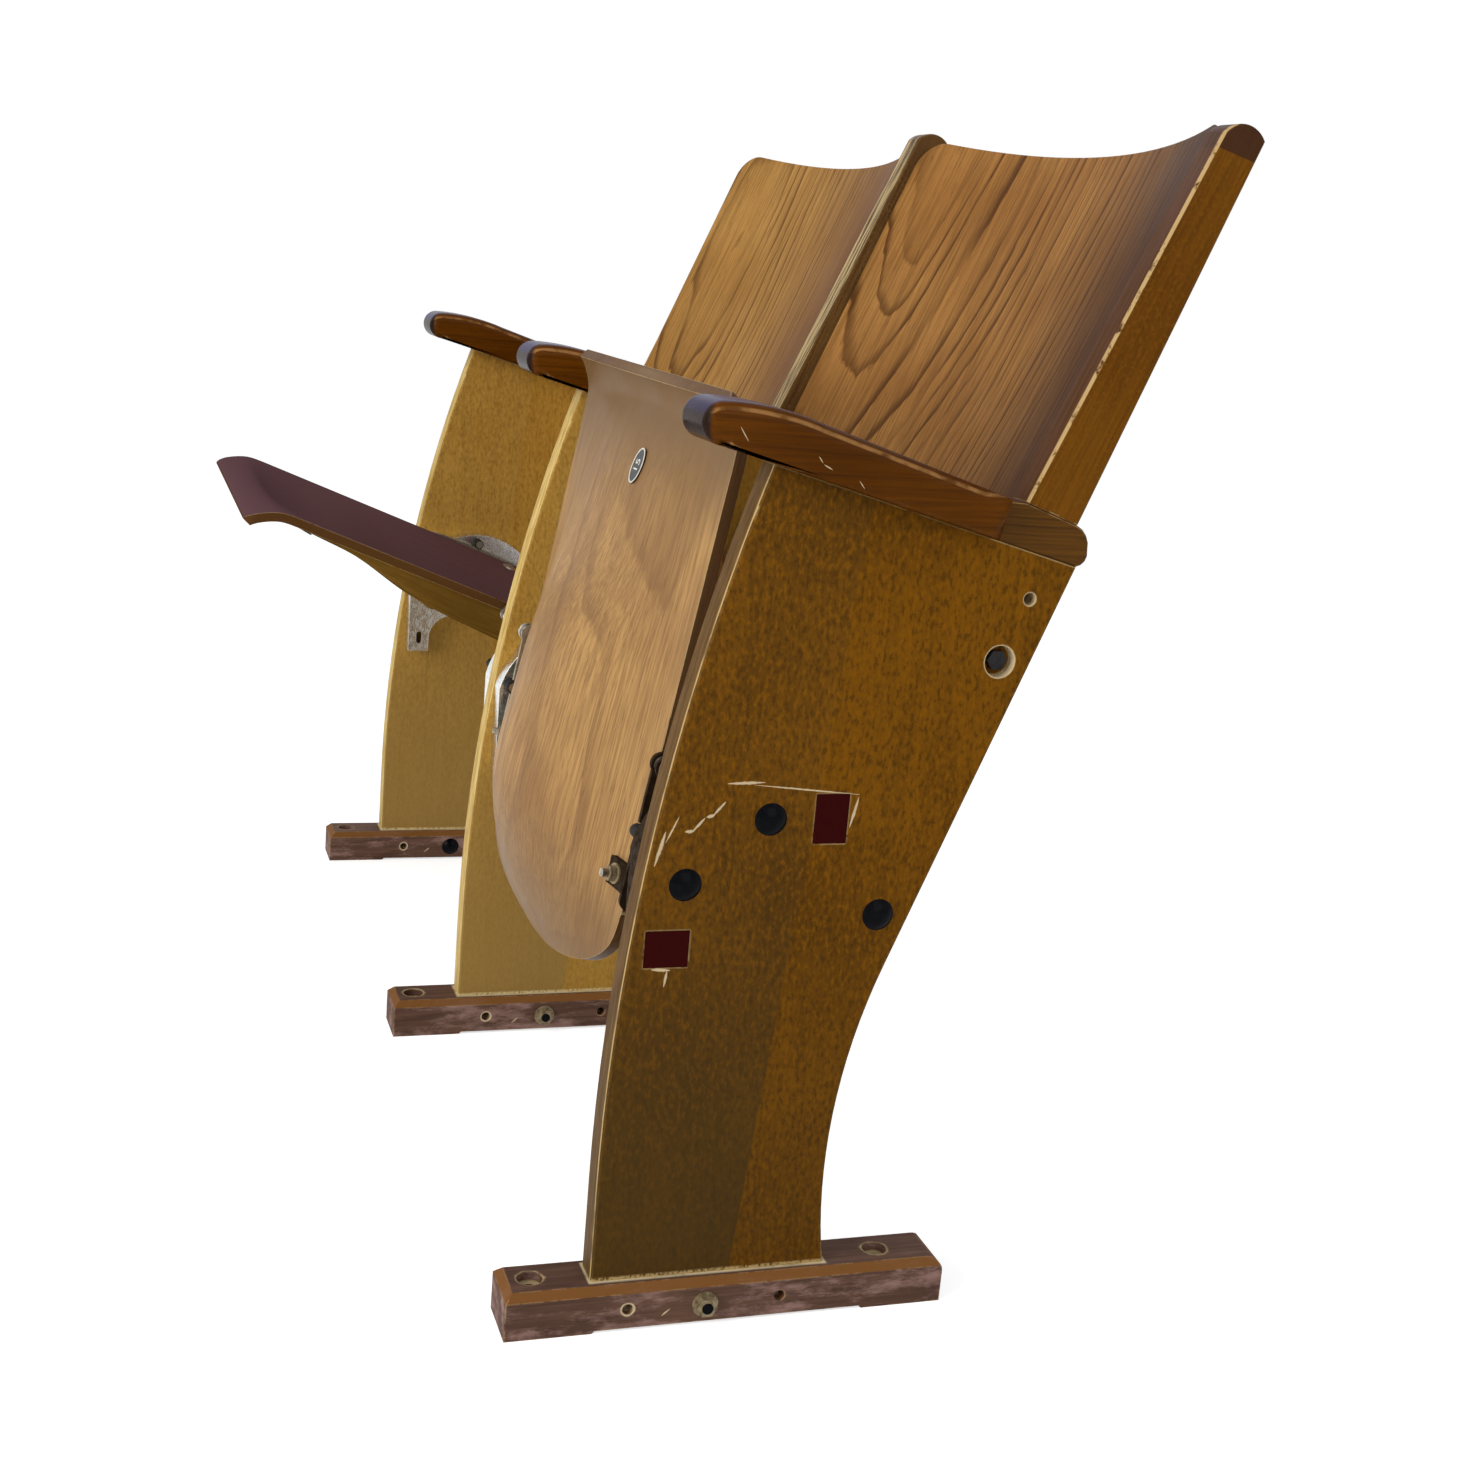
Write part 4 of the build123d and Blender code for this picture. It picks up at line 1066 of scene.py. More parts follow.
# front is a painted shade matching the near back panel's painted shade
POST_WOOD = PostFinish(
    srgb(106, 62, 6), srgb(70, 40, 6), srgb(126, 78, 14), srgb(206, 172, 116), line_share=0.25,
    rings=70.0, roughness=0.42, gloss=0.04, turn=POST_RAKE, tip=srgb(62, 38, 26),
    front=srgb(84, 52, 36))
INNER_POST = replace(
    POST_WOOD, ground=srgb(96, 66, 34), line=srgb(60, 40, 20), pale=srgb(126, 92, 50),
    fibre_share=0.6, tip=srgb(96, 66, 34), front=srgb(214, 186, 132), wear_cover=0.34,
    front_share=0.8)
# both panels take painted shade towards their near edge
NEAR_BACK = CurvedPlyFinish(
    srgb(166, 114, 58), srgb(84, 50, 22), srgb(188, 136, 74), srgb(214, 186, 140), line_share=0.95,
    fibre_share=0.42, pore_share=0.5, stretch=0.3, sway=0.05, rings=110.0, gloss=0.04,
    rake=BACK_RAKE, turn=BACK_RAKE, shade=srgb(54, 30, 22), shade_share=0.95, wear_cover=0.55,
    wear_radius=0.0015)
BACK_PLY = {"near": NEAR_BACK,
            "far": replace(NEAR_BACK, ground=srgb(184, 134, 68), line=srgb(104, 68, 32),
                           pale=srgb(202, 152, 82), shade=srgb(96, 58, 40), shade_share=0.8,
                           shade_x=(-0.38, -0.08))}
BATTEN_WOOD = WoodFinish(
    srgb(112, 80, 42), srgb(80, 54, 26), srgb(134, 98, 54), srgb(190, 156, 106), roughness=0.6,
    gloss=0.1)
# sitting colours of both seats are partly a painted purple sheen
STORED_PLY = SeatPlyFinish(
    srgb(174, 134, 84), srgb(124, 90, 58), srgb(206, 162, 100), srgb(226, 200, 150), line_share=0.6,
    fibre_share=0.62, pore_share=0.5, stretch=0.08, sway=0.04, rings=80.0, fibres=420.0,
    roughness=0.42, gloss=0.06, slope=SEAT_SLOPE["near"], turn=SEAT_SLOPE["near"] - math.pi / 2,
    sitting=srgb(76, 50, 52), shade=srgb(120, 92, 60), edge=srgb(84, 56, 32), wear_cover=0.3,
    wear_radius=0.0009)
# far seat: its darker underside colours are painted shade on the same plywood
SEAT_PLY = {"near": STORED_PLY,
            "far": replace(STORED_PLY, ground=srgb(130, 94, 34), line=srgb(84, 58, 20),
                           pale=srgb(152, 114, 50), worn=srgb(206, 176, 124), gloss=0.0,
                           sitting=srgb(104, 74, 80), shade=srgb(84, 58, 20), slope=SEAT_SLOPE["far"],
                           turn=SEAT_SLOPE["far"] - math.pi / 2)}
SEAM_MARKS = (RingMark((319.0, 480.5), 11.4, 0.6), RingMark((336.0, 524.3), 4.7, 0.35))
OUTER_MARKS = SEAM_MARKS + (
    StrokeMark((131.0, 394.6), (157.0, 395.4), 1.3), StrokeMark((150.0, 393.6), (226.0, 386.5), 0.7),
    StrokeMark((225.6, 384.5), (221.0, 363.5), 1.3), StrokeMark((84.5, 338.0), (90.5, 361.5), 1.6),
    StrokeMark((91.0, 354.0), (99.0, 372.0), 0.8), StrokeMark((104.0, 361.5), (110.0, 362.0), 1.6),
    StrokeMark((109.0, 361.5), (117.0, 371.0), 1.2), StrokeMark((118.0, 371.5), (123.5, 373.0), 1.6),
    StrokeMark((122.5, 372.5), (130.5, 382.0), 1.2), StrokeMark((88.0, 264.6), (101.0, 263.8), 1.5),
    StrokeMark((99.0, 263.5), (97.6, 252.0), 1.2))
RAIL_MARKS = (RingMark((87.0, 16.5), 4.7, 0.9), StrokeMark((112.0, 9.0), (118.0, 14.0), 0.8))
ARM_MARKS = (
    StrokeMark((167.0, 615.0), (170.0, 611.0), 0.4), StrokeMark((171.0, 610.0), (177.0, 607.0), 0.5),
    StrokeMark((113.0, 631.0), (119.0, 622.0), 0.4), StrokeMark((196.0, 601.0), (200.0, 596.0), 0.4))
STEEL = MetalFinish(srgb(176, 170, 158), srgb(112, 98, 76), 0.3, tarnish=0.7)
PRESSED_STEEL = MetalFinish(srgb(226, 226, 220), srgb(150, 142, 126), 0.22, tarnish=0.3)
# painted shade: dark brown copy of the steel for parts in shadow beside the near seat
PAINTED_SHADE_STEEL = MetalFinish(
    srgb(46, 33, 20), srgb(30, 21, 12), 0.6, metallic=0.1, tarnish=0.8, gloss=0.05)
BRONZE = MetalFinish(srgb(150, 118, 70), srgb(84, 66, 42), 0.35)
DUSTY_IRON = MetalFinish(
    srgb(150, 134, 106), srgb(92, 76, 52), 0.5, metallic=0.4, tarnish=0.8, gloss=0.1)
SOOTY_IRON = MetalFinish(srgb(36, 34, 34), srgb(10, 10, 10), 0.35, metallic=0.3, gloss=0.2)
BLACK_IRON = MetalFinish(srgb(3, 4, 8), srgb(14, 14, 18), 0.16, metallic=0.0, coat=0.04, gloss=0.03)
RUBBER = PaintFinish(srgb(24, 23, 22), srgb(90, 84, 74), 0.75, gloss=0.2)
INLAY_RED = PaintFinish(srgb(50, 2, 2), srgb(34, 5, 6), 0.5, gloss=0.04)
PLATE_BLACK = PaintFinish(srgb(16, 16, 20), srgb(60, 60, 62), 0.3, dust_share=0.1)
PLATE_WHITE = PaintFinish(srgb(226, 222, 210), srgb(180, 168, 146), 0.4)


# ------------------------------------------------------------------ mesh helpers
SMOOTH_BELOW = math.radians(32)      # edges that turn by less are shaded smooth
ARRIS_ABOVE = math.radians(40)       # edges that turn by more are softened
FLAT_WITHIN = math.radians(0.5)
HINGE_PLACES = ("far_outer", "far_inner", "near_inner", "near_outer")


def shading_tree() -> Tree:
    """Geometry nodes that join split corners and keep only real arrises sharp.

    Returns:
        The tree, built on its first use.
    """
    name = "joined_shading"
    if name in bpy.data.node_groups:
        return bpy.data.node_groups[name]
    tree = bpy.data.node_groups.new(name, "GeometryNodeTree")
    for way in ("INPUT", "OUTPUT"):
        tree.interface.new_socket("Geometry", in_out=way, socket_type="NodeSocketGeometry")
    net = Net(tree)
    start, end = net.node("NodeGroupInput"), net.node("NodeGroupOutput")
    merge = net.supply(net.node("GeometryNodeMergeByDistance"), Distance=2e-6)
    drop = net.supply(net.node("GeometryNodeRemoveAttribute"), Name="custom_normal")
    smooth = net.node("GeometryNodeSetShadeSmooth", domain="FACE")
    sharp = net.node("GeometryNodeSetShadeSmooth", domain="EDGE")
    below = net.node("FunctionNodeCompare", data_type="FLOAT", operation="LESS_THAN")
    net.feed(below.inputs[0], net.node("GeometryNodeInputMeshEdgeAngle").outputs[0])
    net.feed(below.inputs[1], SMOOTH_BELOW)
    net.supply(sharp, Shade_Smooth=below.outputs[0])
    chain = (start, merge, drop, smooth, sharp, end)
    for before, after in zip(chain, chain[1:]):
        net.supply(after, Geometry=before.outputs[0])
    return tree


def shifted(x: float, place: Place) -> Vector:
    """Place moved along the row."""
    return Vector((x + place[0], place[1], place[2]))


def dress(node: str, material: Material, arris: float = 0.0) -> None:
    """Give a CAD node its material, clean shading and, if wanted, softened arrises.

    Args:
        node: Name of the CAD node.
        material: Its material.
        arris: Width of the softened arris in metres.
    """
    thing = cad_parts[node]
    for slot in thing.material_slots:
        slot.material = material
    clean = thing.modifiers.new("joined_shading", "NODES")
    clean.node_group = shading_tree()
    if arris:
        flat = thing.modifiers.new("flat_faces", "DECIMATE")
        flat.decimate_type = "DISSOLVE"
        flat.angle_limit = FLAT_WITHIN
        soft = thing.modifiers.new("soft_arris", "BEVEL")
        soft.width = arris
        soft.segments = 2
        soft.limit_method = "ANGLE"
        soft.angle_limit = ARRIS_ABOVE
        soft.harden_normals = True
    log.info("dressed %s", node)


def add_object(name: str, data: bpy.types.ID) -> Thing:
    """Make an object of a mesh, curve, lamp or camera and link it into the scene.

    Args:
        name: Name of the object.
        data: What it holds.

    Returns:
        The new object.
    """
    thing = bpy.data.objects.new(name, data)
    bpy.context.scene.collection.objects.link(thing)
    return thing


def new_piece(name: str, points: Sequence[Vector], faces: Sequence[Sequence[int]],
              material: Material, body: str) -> Thing:
    """Make a mesh piece that rides on a body.

    Args:
        name: Name of the piece.
        points: Its vertices in the row frame.
        faces: Its faces as vertex numbers.
        material: Its material.
        body: Body it rides on.

    Returns:
        The new object.
    """
    mesh = bpy.data.meshes.new(name)
    mesh.from_pydata([tuple(p) for p in points], [], [list(f) for f in faces])
    mesh.validate()
    mesh.materials.append(material)
    for face in mesh.polygons:
        face.use_smooth = True
    piece = add_object(name, mesh)
    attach(piece, body)
    log.info("made %s", name)
    return piece


def arc_points(a: tuple[float, float], b: tuple[float, float], c: tuple[float, float],
               count: int) -> list[tuple[float, float]]:
    """Points along the arc through three points, without the last one.

    Args:
        a: Start.
        b: Point on the way.
        c: End.
        count: Number of steps.

    Returns:
        Points from a on.
    """
    d = 2 * (a[0] * (b[1] - c[1]) + b[0] * (c[1] - a[1]) + c[0] * (a[1] - b[1]))
    sq = [p[0] ** 2 + p[1] ** 2 for p in (a, b, c)]
    cy = (sq[0] * (b[1] - c[1]) + sq[1] * (c[1] - a[1]) + sq[2] * (a[1] - b[1])) / d
    cz = (sq[0] * (c[0] - b[0]) + sq[1] * (a[0] - c[0]) + sq[2] * (b[0] - a[0])) / d
    radius = math.dist((cy, cz), a)
    first, middle, last = (math.atan2(p[1] - cz, p[0] - cy) for p in (a, b, c))
    span = (last - first) % (2 * math.pi)
    if (middle - first) % (2 * math.pi) > span:
        span -= 2 * math.pi
    turns = [first + span * k / count for k in range(count)]
    return [(cy + radius * math.cos(turn), cz + radius * math.sin(turn)) for turn in turns]


# ------------------------------------------------------------------ sub-assemblies
@dataclass
class FootAndStandard:
    """One foot rail with the board standard that is tenoned into it."""

    side: str
    rail_pith: Place = (0.0, 0.0, 0.06)
    board_pith: Place = (0.1, 0.12, 0.3)
    rail_arris: float = 0.8 * MM

    def build(self) -> None:
        """Dress rail and standard."""
        x = SIDES[self.side]
        finish = replace(RAIL_WOOD, middle_x=x)
        rail = finish.build(f"rail_wood_{self.side}", shifted(x, self.rail_pith), x, RAIL_MARKS)
        dress(f"{self.side}_rail", rail, self.rail_arris)
        marks = {"near": OUTER_MARKS, "far": SEAM_MARKS, "mid": ()}[self.side]
        # the far and middle standards take the copy with painted sheen
        finish = STANDARD_WOOD if self.side == "near" else INNER_WOOD_PAINTED_SHEEN
        wood = finish.build(f"standard_wood_{self.side}", shifted(x, self.board_pith), x, marks)
        dress(f"{self.side}_standard", wood)


@dataclass
class Armrest:
    """Wide arm with a blunt rounded nose, and its narrow tail under the back post."""

    side: str
    half_width: float = 29.0
    crown: tuple[tuple[float, float], ...] = ((103.0, 646.3), (140.0, 643.2), (172.0, 634.8))
    nose: tuple[float, float] = (89.8, 633.0)
    under_y: float = 104.0
    heel: tuple[float, float] = (309.0, 593.0)
    step_y: float = 302.0
    tail: tuple[tuple[float, float], ...] = ((365.5, 576.0), (326.0, 590.0), (297.0, 592.0))
    tail_start_y: float = 290.0
    tail_back: tuple[float, float] = (373.5, 569.5)
    tail_end: tuple[float, float] = (376.0, 559.0)
    tail_low_y: float = 368.4
    tail_toe: tuple[float, float] = (6.5, 4.0)
    joint_start: tuple[float, float] = (144.5, 607.0)
    joint_fall: float = 0.267
    top_round: float = 9.0
    low_round: float = 2.5
    pith: Place = (0.0, 0.55, 0.1)
    tail_pith: Place = (0.0, 0.5, 0.0)

    def joint_z(self, y: float) -> float:
        """Height of the sloping joint with the standard."""
        return self.joint_start[1] - self.joint_fall * (y - self.joint_start[0])

    def wide_outline(self) -> list[tuple[float, float]]:
        """Side outline of the wide part, from the heel over the crown to the joint.

        Returns:
            Points as millimetres back and up.
        """
        steps = 6
        under = (self.under_y, self.joint_z(self.under_y))
        rise = np.subtract(self.crown[2], self.heel)
        top = [self.heel] + [tuple(np.add(self.heel, rise * k / steps)) for k in range(1, steps)]
        top += arc_points(self.crown[2], self.crown[1], self.crown[0], 10)
        top += arc_points(self.crown[0], self.nose, under, 14)
        low_y = [self.under_y + (self.step_y - self.under_y) * k / steps for k in range(steps + 1)]
        return top + [(y, self.joint_z(y)) for y in low_y]

    def tail_outline(self) -> list[tuple[float, float]]:
        """Side outline of the tail.

        Returns:
            Points as millimetres back and up.
        """
        low = (self.tail_low_y, self.joint_z(self.tail_low_y))
        toe = (low[0] + self.tail_toe[0], low[1] + self.tail_toe[1])
        curve = arc_points(low, toe, self.tail_end, 4)
        curve += arc_points(self.tail_end, self.tail_back, self.tail[0], 4)
        return [(self.tail_start_y, self.joint_z(self.tail_start_y))] + curve + list(self.tail)

    def prism(self, name: str, outline: list[tuple[float, float]], half: float,
              material: Material) -> Thing:
        """Extrude a side outline across the arm.

        Args:
            name: Name of the piece.
            outline: Points as millimetres back and up.
            half: Half width in millimetres.
            material: Its material.

        Returns:
            The new piece.
        """
        count = len(outline)
        points = [Vector((SIDES[self.side] + way * half * MM, *side_point(*p)[1:]))
                  for way in (-1, 1) for p in outline]
        faces = [[k, (k + 1) % count, (k + 1) % count + count, k + count] for k in range(count)]
        faces += [list(range(count))[::-1], list(range(count, 2 * count))]
        return new_piece(name, points, faces, material, "frame")

    def soften(self, piece: Thing, wide: float, weight: Callable[[Vector], float]) -> None:
        """Round the long arrises of a prism.

        Args:
            piece: The prism.
            wide: Width of the rounding in metres.
            weight: Share of that width at an edge's middle.
        """
        mesh = piece.data
        layer = mesh.attributes.new("bevel_weight_edge", "FLOAT", "EDGE")
        for edge in mesh.edges:
            a, b = (mesh.vertices[v].co for v in edge.vertices)
            if abs(a.x - b.x) < 1e-6:
                layer.data[edge.index].value = weight((a + b) / 2)
        soft = piece.modifiers.new("rounded", "BEVEL")
        soft.width = wide
        soft.segments = 6
        soft.limit_method = "WEIGHT"
        soft.use_clamp_overlap = False
        soft.harden_normals = True

    def build(self) -> None:
        """Make both parts and let them stand for the CAD arm."""
        node = f"{self.side}_armrest"
        x = SIDES[self.side]
        wood = ARM_WOOD.build(f"arm_wood_{self.side}", shifted(x, self.pith), x + 0.3,
                              ARM_MARKS if self.side == "near" else ())
        arm = self.prism(f"{self.side}_arm_top", self.wide_outline(), self.half_width, wood)
        low_share = self.low_round / self.top_round

        def share(middle: Vector) -> float:
            """Full rounding above the joint line, little along it."""
            y = (middle.y + FRONT_OFFSET) / MM
            return 1.0 if middle.z / MM > self.joint_z(max(y, self.under_y)) + 1.0 else low_share

        self.soften(arm, self.top_round * MM, share)
        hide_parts(node)
        end_wood = TAIL_WOOD.build(f"tail_wood_{self.side}", shifted(x, self.tail_pith), x + 0.7)
        tail = self.prism(f"{self.side}_arm_tail", self.tail_outline(), BOARD_T / 2 / MM, end_wood)
        self.soften(tail, self.low_round * MM, lambda middle: 1.0)
        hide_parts(node)


@dataclass
class Backs:
    """The three back posts, the two curved panels and their battens."""

    panel_pith: tuple[tuple[str, Place], ...] = (
        ("near", (0.10, -0.20, 1.0)), ("far", (-0.43, -0.13, 0.74)))
    post_pith: Place = (0.05, 0.3, 0.5)
    batten_pith: Place = (0.0, 0.3, 0.5)
    post_arris: float = 0.5 * MM
    panel_arris: float = 0.6 * MM
    batten_arris: float = 0.8 * MM

    def build(self) -> None:
        """Dress posts, panels and battens."""
        for side, x in SIDES.items():
            finish = POST_WOOD if side == "near" else INNER_POST
            post = finish.build(f"post_wood_{side}", shifted(x, self.post_pith), x + 0.9)
            dress(f"{side}_post", post, self.post_arris)
        for side, place in self.panel_pith:
            wood = BACK_PLY[side].build(f"back_ply_{side}", Vector(place), place[0])
            dress(f"{side}_back_panel", wood, self.panel_arris)
        batten = BATTEN_WOOD.build("batten_wood_plain", Vector(self.batten_pith))
        for place in HINGE_PLACES:
            dress(f"{place}_batten", batten, self.batten_arris)
        dress("arm_dowels", batten)


@dataclass
class Seat:
    """One tip-up seat with its arms, bolts and number plate."""

    side: str
    number: str
    plate_half: tuple[float, float] = (10.5 * MM, 14.0 * MM)
    rim: float = 1.3 * MM
    rim_rise: float = 0.35 * MM
    digit_height: float = 8.5 * MM
    font_size: float = 1.35          # per height of a digit
    digit_rise: float = 0.25 * MM
    pith: Place = (0.09, 0.25, 0.4)  # before the turn into the seat's slope

    @property
    def body(self) -> str:
        """Name of the body that the seat's pieces ride on."""
        return f"{self.side}_seat"

    def plate_frame(self) -> Matrix:
        """Find the number plate's face.

        Returns:
            Matrix whose Z leaves the plate outward and whose Y points to the seat's front edge.
        """
        points = np.array([v.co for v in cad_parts[f"{self.side}_number_plate"].data.vertices])
        middle = (points.min(0) + points.max(0)) / 2
        _, _, axes = np.linalg.svd(points - points.mean(0), full_matrices=False)
        slope = SEAT_SLOPE[self.side]
        ahead = Vector((0.0, -math.cos(slope), math.sin(slope)))
        below = Vector((0.0, -math.sin(slope), -math.cos(slope)))
        z = Vector(axes[2])
        if z.dot(below) < 0:
            z.negate()
        y = (ahead - z * ahead.dot(z)).normalized()
        x = y.cross(z)
        at = Vector(middle) + z * (0.5 * MM)
        return Matrix((*zip(x, y, z, at), (0, 0, 0, 1)))

    def build_plate(self) -> None:
        """Add the raised rim and the figures of the number plate."""
        at = self.plate_frame()
        rx, ry = self.plate_half
        white = PLATE_WHITE.build(f"plate_white_{self.side}")
        steps = 64
        slant, sunk = 0.15 * MM, -0.05 * MM
        profile = ((0.0, sunk), (slant, self.rim_rise), (self.rim - slant, self.rim_rise),
                   (self.rim, sunk))
        points, faces = [], []
        for k in range(steps):
            turn = 2 * math.pi * k / steps
            points += [at @ Vector(((rx - inset) * math.cos(turn), (ry - inset) * math.sin(turn), rise))
                       for inset, rise in profile]
        rows = len(profile)
        for k in range(steps):
            for row in range(rows):
                here, after, up = k * rows, (k + 1) % steps * rows, (row + 1) % rows
                faces.append((here + row, here + up, after + up, after + row))
        new_piece(f"{self.side}_plate_rim", points, faces, white, self.body)
        words = bpy.data.curves.new(f"{self.side}_plate_number", "FONT")
        words.body = self.number
        words.size = self.digit_height * self.font_size
        words.align_x, words.align_y = "CENTER", "CENTER"
        words.extrude = self.digit_rise
        words.materials.append(white)
        digits = add_object(f"{self.side}_plate_number", words)
        digits.matrix_world = at @ Matrix.Rotation(math.pi / 2, 4, "Z")
        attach(digits, self.body)

    def build(self, steel: Material, bronze: Material) -> None:
        """Dress the seat's nodes and add the plate's figures.

        Args:
            steel: Material of the arms and fastenings.
            bronze: Material of the bushes.
        """
        slope = SEAT_SLOPE[self.side]
        wood = SEAT_PLY[self.side]
        middle = math.copysign(PITCH / 2, SIDES[self.side])
        turn = Matrix.Rotation(slope - math.pi / 2, 3, "X")
        pith = turn @ shifted(middle, self.pith)
        dress(f"{self.side}_seat", wood.build(f"seat_ply_{self.side}", pith, middle * 3))
        dress(f"{self.side}_seat_bolts", steel)
        dress(f"{self.side}_seat_arm_right", steel)
        # the near seat's left arm sits in shadow: painted shade steel
        shaded = PAINTED_SHADE_STEEL.build("seat_arm_painted_shade_near") if self.side == "near" else steel
        dress(f"{self.side}_seat_arm_left", shaded)
        dress(f"{self.side}_seat_nuts", DUSTY_IRON.build(f"dusty_iron_{self.side}"))
        dress(f"{self.side}_bushes", bronze)
        dress(f"{self.side}_number_plate", PLATE_BLACK.build(f"plate_black_{self.side}"))
        self.build_plate()


@dataclass
class IronWork:
    """Hinge housings, lugs, pins, stops, bolts and nuts on the frame."""

    housing_arris: float = 0.7 * MM
    lug_arris: float = 0.5 * MM

    def build(self, steel: Material, bronze: Material) -> None:
        """Dress the fixed metal pieces.

        Args:
            steel: Material of the plain fastenings.
            bronze: Material of the thrust washers.
        """
        pressed = PRESSED_STEEL.build("pressed_steel_bright")
        painted_shade_skin = PAINTED_SHADE_STEEL.build("pressed_steel_painted_shade")
        for place in HINGE_PLACES:
            # the near_outer housing and lug sit in shadow beside the near seat: painted shade steel
            skin = painted_shade_skin if place == "near_outer" else pressed
            dress(f"{place}_housing", skin, self.housing_arris)
            dress(f"{place}_lug", skin, self.lug_arris)
            dress(f"{place}_pivot_pin", steel)
        for part in ("housing_nuts", "stop_studs", "bolt_spacers", "lug_rivets", "mid_bolts",
                     "back_nuts", "post_studs"):
            dress(part, steel)
        dress("back_bolts", SOOTY_IRON.build("sooty_iron_head"))
        dress("rail_nuts", DUSTY_IRON.build("dusty_iron_rail"))
        dress("bronze_washers", bronze)
        dress("stop_sleeves", RUBBER.build("rubber_black"))
        iron = BLACK_IRON.build("black_iron_cap")
        dress("capped_bolts", iron)
        dress("rail_bolts", iron)
        dress("inlay_plugs", INLAY_RED.build("inlay_red_face"))


def hang(name: str, data: bpy.types.ID, place: Sequence[float], turn: Quaternion) -> Thing:
    """Put a lamp or a camera into the scene.

    Args:
        name: Name of the object.
        data: Its lamp or camera.
        place: Where it hangs.
        turn: How it is turned.

    Returns:
        The new object.
    """
    thing = add_object(name, data)
    thing.location = place
    thing.rotation_mode = "QUATERNION"
    thing.rotation_quaternion = turn
    return thing


@dataclass(frozen=True)
class Lamp:
    """Square soft lamp that looks at the middle of the seats, in metres and watts."""

    name: str
    place: tuple[float, float, float]
    size: float
    power: float
    colour: tuple[float, float, float]
    target: tuple[float, float, float] = (0.0, 0.1, 0.4)

    def build(self) -> None:
        """Hang the lamp."""
        data = bpy.data.lights.new(self.name, "AREA")
        data.size, data.energy, data.color = self.size, self.power, self.colour
        turn = (Vector(self.target) - Vector(self.place)).to_track_quat("-Z", "Y")
        hang(self.name, data, self.place, turn)


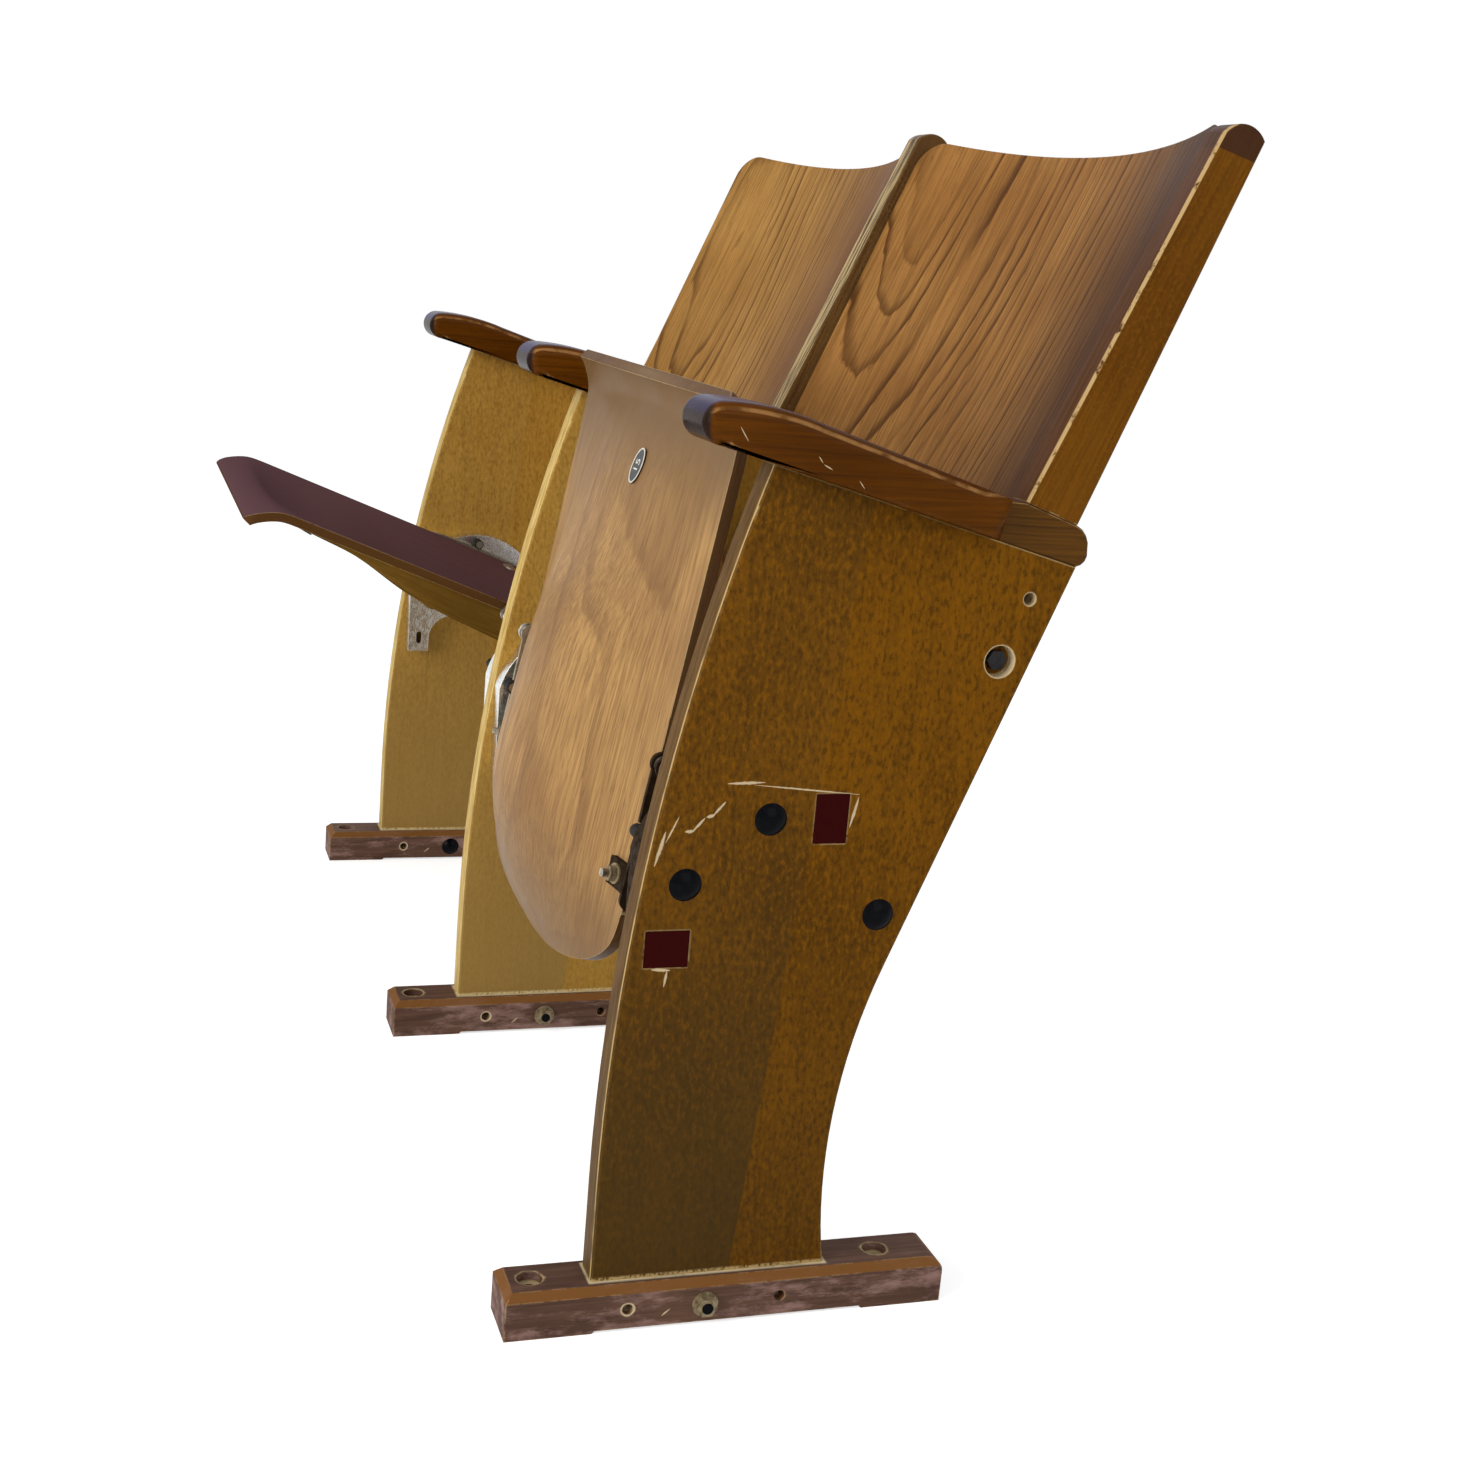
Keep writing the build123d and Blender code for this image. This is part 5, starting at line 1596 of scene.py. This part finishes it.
@dataclass
class Studio:
    """Floor, world, lamps and camera."""

    camera_at: tuple[float, float, float] = (1.69434, -0.42076, 0.73086)
    camera_turn: tuple[float, float, float, float] = (0.619868, 0.517839, 0.33674, 0.483955)
    lens: float = 47.32
    sensor: float = 36.0
    clip: tuple[float, float] = (0.05, 60.0)
    floor_half: float = 12.0
    floor_colour: Colour = (0.86, 0.86, 0.86, 1.0)
    floor_glow: float = 0.6
    sky_colour: Colour = (0.93, 0.96, 1.0, 1.0)
    sky_strength: float = 0.5
    lamps: tuple[Lamp, ...] = (
        Lamp("key_front", (1.5, -2.7, 1.4), 1.8, 52.0, (1.0, 0.97, 0.92)),
        Lamp("fill_side", (3.2, 0.8, 1.8), 2.2, 16.0, (1.0, 0.98, 0.95)),
        Lamp("rim_sky", (-2.4, 0.6, 2.6), 1.6, 10.0, (0.78, 0.84, 1.0)),
        Lamp("glint", (0.7, -2.2, 2.4), 0.2, 9.0, (1.0, 1.0, 1.0)))

    def white_for_camera(self, net: Net, seen: Socket, lit: Socket) -> Socket:
        """Mix a lit shader with plain white where camera, mirror or glass rays meet it.

        Args:
            net: Net of the tree.
            seen: Shader for those rays.
            lit: Shader for the others.

        Returns:
            The mixed shader.
        """
        rays = net.node("ShaderNodeLightPath").outputs
        mirrored = net.larger(rays["Is Glossy Ray"], rays["Is Transmission Ray"])
        any_ray = net.larger(rays["Is Camera Ray"], mirrored)
        mixer = net.node("ShaderNodeMixShader")
        for socket, value in zip(mixer.inputs, (any_ray, lit, seen)):
            net.feed(socket, value)
        return mixer.outputs[0]

    def build_world(self) -> None:
        """Even pale light, white to the camera."""
        world = bpy.data.worlds.new("studio")
        bpy.context.scene.world = world
        net = clear_net(world)
        lit = net.supply(net.node("ShaderNodeBackground"), Color=self.sky_colour,
                         Strength=self.sky_strength)
        seen = net.supply(net.node("ShaderNodeBackground"), Color=(1.0, 1.0, 1.0, 1.0), Strength=1.0)
        net.supply(net.node("ShaderNodeOutputWorld"),
                   Surface=self.white_for_camera(net, seen.outputs[0], lit.outputs[0]))

    def build_floor(self) -> None:
        """Wide pale floor that keeps the shadow and meets the white world."""
        half = self.floor_half
        corners = [(-half, -half, 0), (half, -half, 0), (half, half, 0), (-half, half, 0)]
        mesh = bpy.data.meshes.new("floor")
        mesh.from_pydata(corners, [], [(0, 1, 2, 3)])
        floor = add_object("floor", mesh)
        material = bpy.data.materials.new("floor_pale")
        net = clear_net(material)
        matt = net.supply(net.node("ShaderNodeBsdfDiffuse"), Color=self.floor_colour)
        glow = net.supply(net.node("ShaderNodeEmission"), Strength=self.floor_glow)
        both = net.node("ShaderNodeAddShader")
        net.feed(both.inputs[0], matt.outputs[0])
        net.feed(both.inputs[1], glow.outputs[0])
        net.supply(net.node("ShaderNodeOutputMaterial"),
                   Surface=self.white_for_camera(net, both.outputs[0], matt.outputs[0]))
        mesh.materials.append(material)

    def build_camera(self) -> None:
        """Camera at the measured place."""
        data = bpy.data.cameras.new("camera")
        data.lens, data.sensor_width = self.lens, self.sensor
        data.clip_start, data.clip_end = self.clip
        bpy.context.scene.camera = hang("camera", data, self.camera_at, Quaternion(self.camera_turn))

    def build(self) -> None:
        """Build the whole studio."""
        bpy.context.scene.view_settings.view_transform = "Standard"
        self.build_world()
        self.build_floor()
        for lamp in self.lamps:
            lamp.build()
        self.build_camera()
        log.info("studio ready")


def main() -> None:
    """Build every sub-assembly in order."""
    logging.basicConfig(level=logging.INFO, format="%(name)s: %(message)s")
    steel, bronze = STEEL.build("plain_steel_worn"), BRONZE.build("bronze_dull")
    for side in SIDES:
        FootAndStandard(side).build()
        Armrest(side).build()
    Backs().build()
    for side, number in (("near", "15"), ("far", "16")):
        Seat(side, number).build(steel, bronze)
    IronWork().build(steel, bronze)
    Studio().build()


if __name__ == "__main__":
    main()
